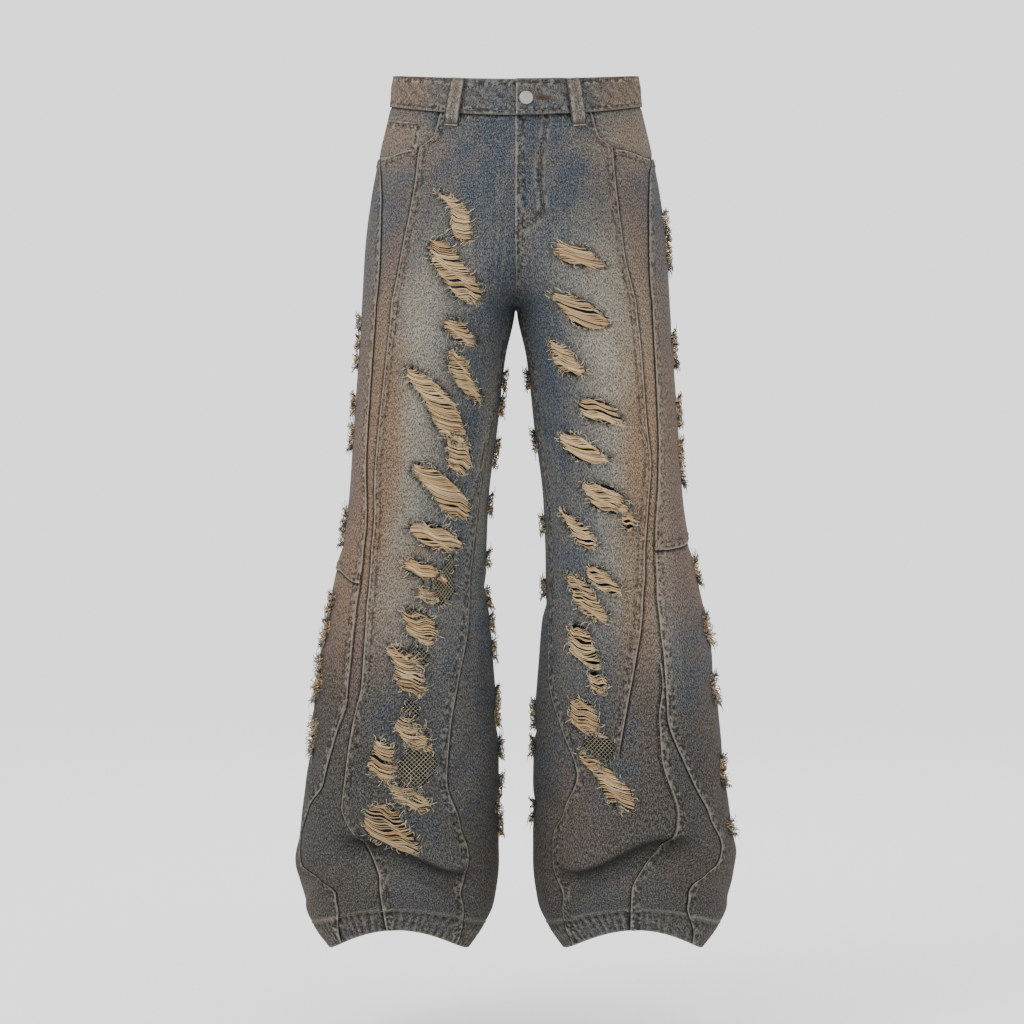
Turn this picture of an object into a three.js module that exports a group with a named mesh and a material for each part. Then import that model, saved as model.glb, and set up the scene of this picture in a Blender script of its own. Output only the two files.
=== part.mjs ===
// Ripped flared jeans, filled out as if worn, with no wearer. Millimetres, +Z up, front toward -Y.
// Each leg is one tube. A place on it is a height down the leg and an angle round it in degrees:
// 0 is the outer side, -90 the front, 90 the back and 180 the inner side. The origin is the
// centre of the waist opening, and every panel is a thin wall cut from that tube at its seams.
import * as THREE from "three";

// Driving dimensions.
const clothWall = 2;
const bandWall = 3;
const netWall = 1;
const seamGap = 0.3;
const layerGap = 0.4;
const waistTop = 32;
const bandBottom = -9;
const partingTop = -30;
const crotchHeight = -265;
const hemStitch = -1043;
const hemHeight = -1075;
const pocketFoot = -78;
const foldTop = -922;
const flyWidth = 34;
const lapEnd = 17;
const lapClear = 26;
const loopWidth = 14;
const loopSlack = 3;
const buttonRadius = 8.5;

// The tube's sections: height, half-width to the outer side, gap to the centre plane, and reach
// to the front and to the back.
const sections = [
  [waistTop, 153, 0, 113, 104],
  [-8, 158, 0, 117, 111],
  [-65, 171, 0, 121, 125],
  [-125, 183, 0, 122, 133],
  [-190, 191, 0, 120, 131],
  [crotchHeight, 195, 1.4, 113, 114],
  [-330, 199, 14, 108, 101],
  [-420, 205, 24, 102, 89],
  [-510, 211, 35, 98, 81],
  [-600, 227, 38, 100, 84],
  [-690, 246, 31, 107, 95],
  [-840, 262, 22, 120, 108],
  [-965, 275, 22, 128, 116],
  [-1017, 269, 28, 121, 111],
  [-1050, 254, 43, 107, 101],
  [hemHeight, 236, 60, 92, 92],
];

// Seam lines: height and angle. The mouth of the front pocket starts the first line of each leg.
const rightSeams = {
  front: [
    [-9, -54.5], [-42, -52.5], [-62, -46], [-108, -48.5], [-184, -52], [-297, -56], [-468, -52.5],
    [-570, -59], [-700, -64], [-736, -64], [-794, -57.5], [-886, -56.5], [-921, -71], [-979, -82],
    [hemHeight, -83],
  ],
  side: [
    [-9, -18], [-78, -2], [-100, -19], [-132, -26], [-272, -39], [-446, -40], [-570, -50],
    [-702, -53.5], [-753, -52], [-805, -45], [-868, -35], [-936, -15], [-965, -22], [-995, -50],
    [-1024, -52.5], [hemHeight, -38],
  ],
  inner: [
    [crotchHeight, -173], [-283, -160], [-331, -164], [-383, -161], [-431, -155], [-570, -145],
    [-662, -138], [-733, -127], [-793, -120], [-844, -118], [-904, -127], [-944, -133],
    [-1003, -132], [hemHeight, -146],
  ],
};
const leftSeams = {
  front: [
    [-9, -54.5], [-42, -52.5], [-62, -46], [-153, -52.5], [-416, -60], [-570, -76], [-700, -73],
    [-736, -69], [-782, -72], [-823, -72], [-890, -66], [-913, -69], [-959, -86], [-1000, -93],
    [hemHeight, -94],
  ],
  side: [
    [-9, -18], [-78, -2], [-100, -21], [-175, -33.5], [-267, -43], [-426, -47], [-487, -51],
    [-570, -62], [-640, -67], [-773, -66], [-835, -56], [-908, -40], [-938, -33], [-963, -36],
    [-990, -57], [-1025, -58], [hemHeight, -35],
  ],
  inner: [
    [crotchHeight, -173], [-283, -160], [-309, -162], [-571, -161], [-622, -159], [-731, -151],
    [-795, -134.5], [-844, -124], [-897, -136], [-930, -143], [-961, -143], [-1001, -138],
    [hemHeight, -149],
  ],
};
const backSeams = {
  side: [
    [-9, 8], [-78, 8], [-130, 17], [-200, 30], [-343, 40], [-570, 48], [-750, 50], [-870, 42],
    [-950, 34], [hemHeight, 40],
  ],
  inner: [
    [crotchHeight, 173], [-283, 160], [-383, 160], [-570, 150], [-733, 132], [-844, 122],
    [-944, 133], [hemHeight, 142],
  ],
};

// Rows of the walls' facets, and the columns between one seam and the next.
const rowHeights = [
  bandBottom, -26, -44, -61, pocketFoot, -110, -145, -180, -212, -238, -254, -261, crotchHeight, -283,
  -306, -340, -385, -435, -490, -545, -600, -655, -710, -765, -815, -855, -885, -906, -918, -926,
  -936, -955, -985, -1015, hemStitch, hemHeight,
];
const pocketRow = 4;
const yokeRow = 3;
const crotchRow = rowHeights.indexOf(crotchHeight);
const kneeRow = rowHeights.indexOf(-600);
const goreRow = rowHeights.indexOf(-710);
const hemRow = rowHeights.indexOf(hemStitch);
const lastRow = rowHeights.length - 1;
const columns = { front: 6, strip: 2, side: 4, back: 6, inner: 4 };
const frontEnd = columns.front;
const stripEnd = frontEnd + columns.strip;
const sideEnd = stripEnd + columns.side;
const backEnd = sideEnd + columns.back;

const radians = THREE.MathUtils.degToRad;

// Eases from 0 at one value to 1 at the other.
function ease(from, to, value) {
  const t = THREE.MathUtils.clamp((value - from) / (to - from), 0, 1);
  return t * t * (3 - 2 * t);
}

// Monotone cubic through a column of a list whose first column is the height, top first.
function along(list, column, height) {
  const last = list.length - 1;
  const h = THREE.MathUtils.clamp(height, list[last][0], list[0][0]);
  let k = 0;
  while (k < last - 1 && h < list[k + 1][0]) {
    k += 1;
  }
  const slope = (n) => (list[n + 1][column] - list[n][column]) / (list[n + 1][0] - list[n][0]);
  const tangent = (n) => {
    if (n === 0) return slope(0);
    if (n === last) return slope(last - 1);
    const a = slope(n - 1);
    const b = slope(n);
    return a * b <= 0 ? 0 : (2 * a * b) / (a + b);
  };
  const step = list[k + 1][0] - list[k][0];
  const t = (h - list[k][0]) / step;
  const rise = (2 * t - 3) * t * t + 1;
  return (
    rise * list[k][column] +
    t * (1 - t) * (1 - t) * step * tangent(k) +
    (1 - rise) * list[k + 1][column] +
    t * t * (t - 1) * step * tangent(k + 1)
  );
}

// The share of the loop's half-width by which its centre stands off the centre plane: 0 at the
// waist, where the two legs are one tube, and 1 at the crotch, where they part.
function parting(height) {
  const t = THREE.MathUtils.clamp((partingTop - height) / (partingTop - crotchHeight), 0, 1);
  return t ** 2.4;
}

function ring(height) {
  const outer = along(sections, 1, height);
  const s = parting(height);
  const inner = height > crotchHeight ? (outer * (s - 1)) / (s + 1) : along(sections, 2, height);
  const front = along(sections, 3, height);
  const back = along(sections, 4, height);
  return {
    cx: (outer + inner) / 2,
    rx: (outer - inner) / 2,
    cy: (back - front) / 2,
    ry: (front + back) / 2,
  };
}

// Angles past the back are counted on round the inner side, so that they run without a jump.
function wrapped(angle) {
  return angle > 90 ? angle - 360 : angle;
}

// Height of the front break, the fold where the cloth stacks on the foot.
function foldLine(angle) {
  const a = wrapped(angle);
  return foldTop - 54 * ease(-75, -130, a) * (1 - ease(-140, -200, a));
}

function foldStrength(angle) {
  const a = wrapped(angle);
  return ease(-48, -72, a) * (1 - ease(-122, -150, a));
}

// A point of the left leg's tube. The waist dips at the front, the cloth bulges above the break
// and is drawn in below it, and the hem lifts over the foot.
function tubePoint(angle, height) {
  const { cx, rx, cy, ry } = ring(height);
  const below = foldLine(angle) - height;
  const swell = below < 0 ? Math.exp(-((below / 45) ** 2)) : 1 - ease(0, 16, below);
  const recess = 0.3 * Math.exp(-(((below - 34) / 22) ** 2));
  const bulge = 15 * foldStrength(angle) * (swell - recess);
  const drop = 8 * foldStrength(angle) * Math.exp(-((below / 12) ** 2));
  const sine = Math.sin(radians(angle));
  const x = cx + (rx + 0.4 * bulge) * Math.cos(radians(angle));
  const y = cy + (ry + bulge) * sine;
  const waistDip = (0.136 * y - 0.000934 * y * y) * ease(-200, -10, height);
  const hemLift = (sine < 0 ? 35 : 12) * sine * sine * ease(-940, hemHeight, height);
  return new THREE.Vector3(x, y, height + waistDip + hemLift - drop);
}

// The outward normal, from the slopes round and down the tube. On the centre plane it has no
// sideways part, and it is lengthened to keep the wall's thickness.
function tubeNormal(angle, height, onCentre) {
  const round = tubePoint(angle + 0.2, height).sub(tubePoint(angle - 0.2, height));
  const down = tubePoint(angle, height - 0.4).sub(tubePoint(angle, height + 0.4));
  const normal = down.cross(round).normalize();
  if (onCentre) {
    normal.x = 0;
    normal.divideScalar(Math.max(normal.lengthSq(), 0.4));
  }
  return normal;
}

// Height of a row at an angle: the upper rows follow the pocket mouth and the yoke seam, and
// the rows near the break follow the break.
function rowHeight(row, angle) {
  const beside = Math.max(pocketFoot + (16 * (angle + 90)) / 44, pocketFoot);
  const under = pocketFoot + 16 - 16 * Math.sin(radians(90) * ease(-46, -8, angle));
  const yoke = -40 * ease(8, 90, angle);
  const pocket = (angle < -46 ? beside : under) + yoke;
  if (row <= pocketRow) {
    return bandBottom + ((pocket - bandBottom) * row) / pocketRow;
  }
  const base = rowHeights[row];
  const near = ease(-815, -890, base) * (1 - ease(-940, -1030, base));
  const level = (pocket - pocketFoot) * (1 - ease(pocketRow, 9, row));
  return base + level + (foldLine(angle) - foldTop) * near;
}

// The grid of one leg's tube: places at the seams, with even columns between them.
function legGrid(seams) {
  const centre = (height) => THREE.MathUtils.radToDeg(Math.acos(-parting(height)));
  const lines = [
    (h) => (h > crotchHeight ? -centre(h) : along(seams.inner, 1, h)),
    (h) => along(seams.front, 1, h),
    (h) => along(seams.side, 1, h),
    (h) => along(backSeams.side, 1, h),
    (h) => (h > crotchHeight ? centre(h) : along(backSeams.inner, 1, h)),
  ];
  const counts = [columns.front, columns.strip, columns.side, columns.back];
  return rowHeights.map((base, row) => {
    const marks = lines.map((line) => {
      let height = base;
      for (let pass = 0; pass < 6; pass += 1) {
        height = rowHeight(row, line(height));
      }
      return line(height);
    });
    const angles = [marks[0]];
    counts.forEach((count, k) => {
      for (let n = 1; n <= count; n += 1) {
        angles.push(marks[k] + ((marks[k + 1] - marks[k]) * n) / count);
      }
    });
    const innerAngles = [];
    for (let n = 0; n <= columns.inner; n += 1) {
      innerAngles.push(marks[0] + ((marks[4] - 360 - marks[0]) * n) / columns.inner);
    }
    const place = (angle, onCentre) => ({ angle, height: rowHeight(row, angle), onCentre });
    const above = row < crotchRow;
    return {
      round: angles.map((angle, n) => place(angle, above && (n === 0 || n === backEnd))),
      inner: innerAngles.map((angle) => place(angle, false)),
    };
  });
}

// The surface point and normal of a place, on the leg of the given side.
function spot(place, side) {
  const point = tubePoint(place.angle, place.height);
  const normal = tubeNormal(place.angle, place.height, place.onCentre);
  point.x *= side;
  normal.x *= side;
  return { point, normal };
}

// Draws the border points of a sheet in by half the seam gap, in the sheet's own plane. Each
// border edge pulls toward its cell, and a corner answers to both of its edges.
function drawIn(points, cells) {
  const edges = new Map();
  for (const cell of cells) {
    cell.forEach((a, n) => {
      const b = cell[(n + 1) % 4];
      const key = a < b ? `${a},${b}` : `${b},${a}`;
      edges.set(key, edges.has(key) ? null : { a, b, cell });
    });
  }
  const border = [...edges.values()].filter((edge) => edge !== null);
  const pulls = new Map();
  for (const { a, b, cell } of border) {
    const along = points[b].clone().sub(points[a]).normalize();
    const middle = new THREE.Vector3();
    cell.forEach((n) => middle.addScaledVector(points[n], 0.25));
    const inward = middle.sub(points[a]);
    inward.addScaledVector(along, -inward.dot(along)).normalize();
    for (const n of [a, b]) {
      pulls.set(n, [...(pulls.get(n) ?? []), inward]);
    }
  }
  const moved = points.map((point) => point.clone());
  for (const [n, [first, second]] of pulls) {
    const sum = first.clone().add(second);
    moved[n].addScaledVector(sum, seamGap / 2 / (1 + first.dot(second)));
  }
  return { moved, border };
}

// A wall of cloth over a sheet of spots. Its middle stands off the tube by the spots' own lift
// and by lift; keep says which cells it has, and a ring closes on itself.
function wallGeometry(spots, { wall = clothWall, lift = 0, isRing = false, keep = () => true } = {}) {
  const across = spots[0].length;
  const id = (j, i) => j * across + (isRing ? i % across : i);
  const cells = [];
  for (let j = 0; j < spots.length - 1; j += 1) {
    for (let i = 0; i < (isRing ? across : across - 1); i += 1) {
      if (keep(j, i)) {
        cells.push([id(j, i), id(j + 1, i), id(j + 1, i + 1), id(j, i + 1)]);
      }
    }
  }
  const flat = spots.flat();
  const { moved, border } = drawIn(flat.map((s) => s.point), cells);
  const positions = [];
  for (const half of [wall / 2, -wall / 2]) {
    flat.forEach((s, n) => {
      const p = moved[n].clone().addScaledVector(s.normal, lift + (s.lift ?? 0) + half);
      positions.push(p.x, p.y, p.z);
    });
  }
  const under = flat.length;
  const faces = [];
  const quad = (a, b, c, d) => faces.push([a, b, c], [a, c, d]);
  for (const [a, b, c, d] of cells) {
    quad(a, b, c, d);
    quad(d + under, c + under, b + under, a + under);
  }
  // Both sides of a seam split their edge walls on the same diagonal, from the higher end.
  const higher = (a, b) => moved[a].z + 0.01 * moved[a].x > moved[b].z + 0.01 * moved[b].x;
  for (const { a, b } of border) {
    if (higher(a, b)) {
      quad(a, a + under, b + under, b);
    } else {
      quad(b, a, a + under, b + under);
    }
  }
  return facingOut(positions, faces);
}

// Turns the faces over where the closed body came out inside out.
function facingOut(positions, faces) {
  const corner = (n) => new THREE.Vector3().fromArray(positions, 3 * n);
  const volume = faces.reduce((sum, [a, b, c]) => sum + corner(a).dot(corner(b).cross(corner(c))), 0);
  const geometry = new THREE.BufferGeometry();
  geometry.setAttribute("position", new THREE.Float32BufferAttribute(positions, 3));
  geometry.setIndex(faces.flatMap(([a, b, c]) => (volume < 0 ? [a, c, b] : [a, b, c])));
  geometry.computeVertexNormals();
  return geometry;
}

// A block of a leg's grid as spots.
function block(grid, part, side, rowFrom, rowTo, from, to) {
  return grid
    .slice(rowFrom, rowTo + 1)
    .map((row) => row[part].slice(from, to + 1).map((place) => spot(place, side)));
}

// A patch that lies on a leg: four-sided, between heights that may vary across it.
function patchSpots(side, angleFrom, angleTo, top, bottom, across, rows) {
  const spots = [];
  for (let j = 0; j <= rows; j += 1) {
    const line = [];
    for (let i = 0; i <= across; i += 1) {
      const u = i / across;
      const height = THREE.MathUtils.lerp(top(u), bottom(u), j / rows);
      const angle = THREE.MathUtils.lerp(angleFrom(height), angleTo(height), u);
      line.push(spot({ angle, height, onCentre: false }, side));
    }
    spots.push(line);
  }
  return spots;
}

// A place on the whole waist: turn 0 is the front centre, positive toward the wearer's left.
function waistSpot(turn, height) {
  const angle = Math.abs(turn) - 90;
  const side = turn < 0 ? -1 : 1;
  const onCentre = turn === 0 || Math.abs(turn) === 180;
  return spot({ angle, height, onCentre }, side);
}

// Finishes.
const colours = {
  denim: 0x5a6478,
  fadedDenim: 0x8a8c84,
  rustDenim: 0x8f7560,
  darkDenim: 0x4d4743,
  net: 0x5d5648,
  pewter: 0xb5b0aa,
};

function cloth(colour) {
  return new THREE.MeshStandardMaterial({ color: colour, roughness: 0.92, metalness: 0 });
}

function metal(colour) {
  return new THREE.MeshStandardMaterial({ color: colour, roughness: 0.5, metalness: 1 });
}

const jeans = new THREE.Group();

function add(name, geometry, material) {
  const mesh = new THREE.Mesh(geometry, material);
  mesh.name = name;
  jeans.add(mesh);
  return mesh;
}

// The panels that both legs have, the net behind the front and the hem's turn-up.
function addLeg(name, side, grid) {
  const panel = (piece, colour, rows, from, to, part = "round") => {
    const spots = block(grid, part, side, rows[0], rows[1], from, to);
    add(`${piece}_${name}`, wallGeometry(spots), cloth(colour));
  };
  panel("pocket_facing", colours.rustDenim, [0, pocketRow], frontEnd, sideEnd);
  panel("back_yoke", colours.denim, [0, yokeRow], sideEnd, backEnd);
  panel("back_panel", colours.denim, [yokeRow, lastRow], sideEnd, backEnd);
  panel("side_upper", colours.rustDenim, [pocketRow, kneeRow], stripEnd, sideEnd);
  panel("side_lower", colours.darkDenim, [kneeRow, lastRow], stripEnd, sideEnd);
  panel("inner_leg", colours.denim, [crotchRow, lastRow], 0, columns.inner, "inner");
  addHemTurnUp(name, side, grid);
  addBackPocket(name, side);
}

// The right front: a panel to the princess seam, and a strip from there to the side seam.
function addRightFront(grid) {
  const panel = block(grid, "round", -1, 0, lastRow, 0, frontEnd);
  add("front_panel_right", wallGeometry(panel), cloth(colours.fadedDenim));
  const strip = block(grid, "round", -1, pocketRow, lastRow, frontEnd, stripEnd);
  add("front_strip_right", wallGeometry(strip), cloth(colours.rustDenim));
}

// The left front: one panel that widens to the side seam between the pocket and the gore.
function addLeftFront(grid) {
  const spots = block(grid, "round", 1, 0, lastRow, 0, stripEnd);
  const keep = (j, i) => i < frontEnd || (j >= pocketRow && j < goreRow);
  add("front_panel_left", wallGeometry(spots, { keep }), cloth(colours.fadedDenim));
  const gore = block(grid, "round", 1, goreRow, lastRow, frontEnd, stripEnd);
  add("front_gore_left", wallGeometry(gore), cloth(colours.darkDenim));
}

// The hem is the panels' own cloth folded up inside, one ring a leg.
function addHemTurnUp(name, side, grid) {
  const rows = grid.slice(hemRow).map((row) => {
    const inside = row.inner.slice(1, -1).reverse();
    return [...row.round, ...inside].map((place) => spot(place, side));
  });
  const lift = -clothWall - 3 * layerGap;
  add(`hem_turnup_${name}`, wallGeometry(rows, { lift, isRing: true }), cloth(colours.darkDenim));
}

// Net sewn behind the worn front, over the rows between two heights.
function addNet(name, side, grid, top, bottom) {
  const from = rowHeights.indexOf(top);
  const to = rowHeights.indexOf(bottom);
  const spots = block(grid, "round", side, from, to, 1, frontEnd - 1);
  const lift = -(clothWall + netWall) / 2 - 3 * layerGap;
  add(`mesh_backing_${name}`, wallGeometry(spots, { wall: netWall, lift }), cloth(colours.net));
}

// A patch pocket with a pointed foot, laid on the back panel and clear of its facets.
function addBackPocket(name, side) {
  const foot = (u) => -216 - 26 * (1 - Math.abs(2 * u - 1));
  const spots = patchSpots(side, () => 36, () => 76, () => -108, foot, 8, 7);
  add(`back_pocket_${name}`, wallGeometry(spots, { lift: clothWall + 2 * layerGap }), cloth(colours.denim));
}

// The coin pocket lies on the right facing, down to the mouth of the front pocket.
function addCoinPocket() {
  const mouth = (u) => -74 + 14 * u ** 3;
  const spots = patchSpots(-1, () => -7, () => -44, () => -27, mouth, 5, 4);
  add("coin_pocket", wallGeometry(spots, { lift: clothWall + layerGap }), cloth(colours.rustDenim));
}

// The folded layer behind the left front edge, down to the foot of the fly.
function addFlyFacing() {
  const angleAt = (x) => (height) => {
    const { cx, rx } = ring(height);
    return -THREE.MathUtils.radToDeg(Math.acos((x - cx) / rx));
  };
  const edge = (height) => angleAt(flyWidth * (1 - 0.75 * ease(-140, -176, height)))(height);
  const spots = patchSpots(1, angleAt(seamGap), edge, () => bandBottom - 1, () => -172, 2, 8);
  add("fly_facing", wallGeometry(spots, { lift: -clothWall - 4 * layerGap }), cloth(colours.denim));
}

// The waistband runs once round the waist on the panels' own columns. Its left end lies on top
// of its right end, which runs on under it past the centre, to the turn lapEnd.
function addWaistband(leftGrid, rightGrid) {
  const lap = [0.001, 8, lapEnd, lapClear];
  const turns = [
    ...lap,
    ...leftGrid[0].round.map((place) => place.angle + 90).filter((turn) => turn > lapClear + 2),
    ...rightGrid[0].round.slice(0, -1).reverse().map((place) => -place.angle - 90),
    8,
    lapEnd,
  ];
  const bandRows = [waistTop, (waistTop + bandBottom) / 2, bandBottom];
  const spots = bandRows.map((height) =>
    turns.map((turn, n) => ({
      ...waistSpot(turn, height),
      lift: n < lap.length ? (bandWall + layerGap) * (1 - ease(lapEnd + 2, lapClear, turn)) : 0,
    })),
  );
  add("waistband", wallGeometry(spots, { wall: bandWall }), cloth(colours.denim));
}

// A belt loop bridges the band: its ends lie on the band and on the panel below, and between
// them it stands off by the slack.
function addBeltLoop(name, topTurn, footTurn) {
  const top = 31;
  const foot = -26;
  const halfTurn = THREE.MathUtils.radToDeg(loopWidth / 2 / 117);
  const rows = 8;
  const spots = [];
  for (let j = 0; j <= rows; j += 1) {
    const t = j / rows;
    const height = THREE.MathUtils.lerp(top, foot, t);
    const turn = THREE.MathUtils.lerp(topTurn, footTurn, t);
    const lift = loopSlack * Math.sin(Math.PI * Math.min(t / 0.85, 1)) ** 0.6;
    spots.push([-1, 0, 1].map((u) => ({ ...waistSpot(turn + u * halfTurn, height), lift })));
  }
  const base = (bandWall + clothWall) / 2 + 2 * layerGap;
  add(name, wallGeometry(spots, { lift: base }), cloth(colours.denim));
}

// The button: a crowned disc on the lapped end of the band.
function addButton() {
  const profile = [
    [0, 0], [7.2, 0], [buttonRadius, 0.8], [buttonRadius, 1.8], [7.6, 2.7], [6.4, 2.9], [0, 3.3],
  ].map(([r, z]) => new THREE.Vector2(r, z));
  const geometry = new THREE.LatheGeometry(profile, 32);
  geometry.rotateX(Math.PI / 2);
  const { point, normal } = waistSpot(4.4, 9);
  const mesh = add("button", geometry, metal(colours.pewter));
  const outward = new THREE.Vector3(0, 0, 1);
  mesh.quaternion.setFromUnitVectors(outward, normal.clone().normalize());
  mesh.position.copy(point).addScaledVector(normal, bandWall * 1.5 + layerGap * 3);
}

const rightGrid = legGrid(rightSeams);
const leftGrid = legGrid(leftSeams);
addWaistband(leftGrid, rightGrid);
addBeltLoop("belt_loop_front_left", 26.5, 28.5);
addBeltLoop("belt_loop_front_right", -27, -29.5);
addBeltLoop("belt_loop_back_left", 128, 128);
addBeltLoop("belt_loop_back_right", -128, -128);
addBeltLoop("belt_loop_back_centre", 180, 180);
addButton();
addLeg("right", -1, rightGrid);
addLeg("left", 1, leftGrid);
addRightFront(rightGrid);
addLeftFront(leftGrid);
addNet("right", -1, rightGrid, -545, -815);
addNet("left", 1, leftGrid, -765, -855);
addCoinPocket();
addFlyFacing();

export default jeans;
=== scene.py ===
# Ripped flared jeans, filled out as worn with no wearer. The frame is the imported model, in metres;
# the shape functions below work in millimetres, as the pattern maker's drawing does.
# A place on a leg is an angle round it (0 outer side, -90 front, 90 back, 180 inner side) and a
# height. Every panel is a thin shell over the same tube as its solid, with creases laid on it.
import functools

import bpy
import mathutils
import numpy as np
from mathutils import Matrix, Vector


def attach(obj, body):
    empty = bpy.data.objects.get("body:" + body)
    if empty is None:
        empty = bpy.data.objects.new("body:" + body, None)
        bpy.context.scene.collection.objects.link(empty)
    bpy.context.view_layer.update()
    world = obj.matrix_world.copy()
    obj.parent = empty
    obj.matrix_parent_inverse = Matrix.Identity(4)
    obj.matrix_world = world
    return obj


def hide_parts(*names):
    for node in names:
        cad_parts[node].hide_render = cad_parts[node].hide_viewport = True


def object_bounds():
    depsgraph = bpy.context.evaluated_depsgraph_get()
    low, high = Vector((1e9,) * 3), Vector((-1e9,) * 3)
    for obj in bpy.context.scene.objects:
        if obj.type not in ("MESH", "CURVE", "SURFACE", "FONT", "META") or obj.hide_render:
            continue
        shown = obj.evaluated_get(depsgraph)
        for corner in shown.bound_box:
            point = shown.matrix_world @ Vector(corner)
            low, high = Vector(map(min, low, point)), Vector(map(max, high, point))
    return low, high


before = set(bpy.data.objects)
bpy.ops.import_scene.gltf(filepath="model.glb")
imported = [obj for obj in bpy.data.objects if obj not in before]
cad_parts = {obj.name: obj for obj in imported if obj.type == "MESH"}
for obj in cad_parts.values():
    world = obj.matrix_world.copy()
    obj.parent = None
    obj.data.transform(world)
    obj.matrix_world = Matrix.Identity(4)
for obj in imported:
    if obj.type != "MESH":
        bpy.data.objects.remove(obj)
cadLow, cadHigh = [list(corner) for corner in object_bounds()]
random = np.random.default_rng(41)
print("frame loaded")

# the tube's sections: height, outer half-width, gap to the centre plane, front reach, back reach
sections = np.array([
    [32, 153, 0, 113, 104], [-8, 158, 0, 117, 111], [-65, 171, 0, 121, 125],
    [-125, 183, 0, 122, 133], [-190, 191, 0, 120, 131], [-265, 195, 1.4, 113, 114],
    [-330, 199, 14, 108, 101], [-420, 205, 24, 102, 89], [-510, 211, 35, 98, 81],
    [-600, 227, 38, 100, 84], [-690, 246, 31, 107, 95], [-840, 262, 22, 120, 108],
    [-965, 275, 22, 128, 116], [-1017, 269, 28, 121, 111], [-1050, 254, 43, 107, 101],
    [-1075, 236, 60, 92, 92]], float)
body = dict(bandFoot=-9.0, parting=-30.0, crotch=-265.0, gore=-710.0, hemStitch=-1043.0,
            hem=-1075.0, foldTop=-910.0, pocketFoot=-78.0, wall=1.3)
bandFoot, hem, gore = body["bandFoot"], body["hem"], body["gore"]

# seam lines: height and angle, the pocket mouth first
seams = {
    "rightFront": [[-9, -54.5], [-42, -52.5], [-62, -46], [-108, -48.5], [-184, -52], [-297, -56],
                   [-468, -52.5], [-570, -59], [-700, -64], [-736, -64], [-794, -57.5],
                   [-886, -56.5], [-921, -71], [-979, -82], [-1075, -83]],
    "rightSide": [[-9, -18], [-78, -13], [-100, -19], [-132, -26], [-272, -39], [-446, -40],
                  [-570, -50], [-702, -53.5], [-753, -52], [-805, -45], [-868, -35], [-936, -15],
                  [-965, -22], [-995, -50], [-1024, -52.5], [-1075, -38]],
    "rightInner": [[-265, -173], [-283, -160], [-331, -164], [-383, -161], [-431, -155],
                   [-570, -145], [-662, -138], [-733, -127], [-793, -120], [-844, -118],
                   [-904, -127], [-944, -133], [-1003, -132], [-1075, -146]],
    "leftMouth": [[-9, -54.5], [-42, -52.5], [-62, -46], [-153, -52.5]],
    "leftTuck": [[-62, -46], [-153, -52.5], [-223, -58.4], [-298, -59.4], [-416, -59.4],
                 [-457, -58], [-508, -63], [-559, -70], [-600, -75], [-661, -81], [-741, -90],
                 [-818, -97.5]],
    "leftGore": [[-710, -70], [-736, -69], [-782, -72], [-823, -72], [-890, -66], [-913, -69],
                 [-959, -86], [-1000, -93], [-1075, -94]],
    "leftSide": [[-9, -18], [-78, -14], [-100, -21], [-175, -33.5], [-267, -43], [-426, -47],
                 [-487, -51], [-570, -62], [-640, -67], [-773, -66], [-835, -56], [-908, -40],
                 [-938, -33], [-963, -36], [-990, -57], [-1025, -58], [-1075, -35]],
    "leftInner": [[-265, -173], [-283, -160], [-309, -162], [-571, -161], [-622, -159],
                  [-731, -151], [-795, -134.5], [-844, -124], [-897, -136], [-930, -143],
                  [-961, -143], [-1001, -138], [-1075, -149]],
    "backSide": [[-9, 8], [-78, 8], [-130, 17], [-200, 30], [-343, 40], [-570, 48], [-750, 50],
                 [-870, 42], [-950, 34], [-1075, 40]],
    "backInner": [[-265, 173], [-283, 160], [-383, 160], [-570, 150], [-733, 132], [-844, 122],
                  [-944, 133], [-1075, 142]],
}
seams = {name: np.array(rows, float) for name, rows in seams.items()}


# eases from 0 at the first value to 1 at the second: t t (3 - 2 t) of the share t between them
def ease(start, stop, value):
    t = np.clip((value - start) / (stop - start), 0, 1)
    return t * t * (3 - 2 * t)


# bell curve: e to the power of minus the square of value over reach
def bell(value, reach):
    return np.exp(-((value / reach) ** 2))


# monotone cubic through one column of a list whose first column is the height, top first
def along(rows, column, height):
    h, values = rows[::-1, 0], rows[::-1, column]
    slope = np.diff(values) / np.diff(h)
    inner = slope[:-1] * slope[1:]
    safe = np.where(inner > 0, slope[:-1] + slope[1:], 1)
    tangent = np.concatenate([slope[:1], np.where(inner > 0, 2 * inner / safe, 0), slope[-1:]])
    x = np.clip(height, h[0], h[-1])
    k = np.clip(np.searchsorted(h, x, side="right") - 1, 0, len(h) - 2)
    step = h[k + 1] - h[k]
    t = (x - h[k]) / step
    rise = (2 * t - 3) * t * t + 1
    curve = t * (1 - t) ** 2 * step * tangent[k] + t * t * (t - 1) * step * tangent[k + 1]
    return rise * values[k] + (1 - rise) * values[k + 1] + curve


# how far the legs have parted: the share of the way down to the crotch, to the power 2.4
def parted(height):
    span = body["parting"] - body["crotch"]
    return np.clip((body["parting"] - height) / span, 0, 1) ** 2.4


# the loop at a height: centre and half-widths across and front to back
def ring(height):
    outer = along(sections, 1, height)
    s = parted(height)
    inner = np.where(height > body["crotch"], outer * (s - 1) / (s + 1), along(sections, 2, height))
    front, back = along(sections, 3, height), along(sections, 4, height)
    return (outer + inner) / 2, (outer - inner) / 2, (back - front) / 2, (front + back) / 2


# the same angle counted from -270 to 90, so that the front and the inner side are one stretch
def wrapped(angle):
    return np.where(angle > 90, angle - 360, angle)


foldLook = dict(lowered=44, bulge=15, recess=0.5, recessAt=32, drop=8)


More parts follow.
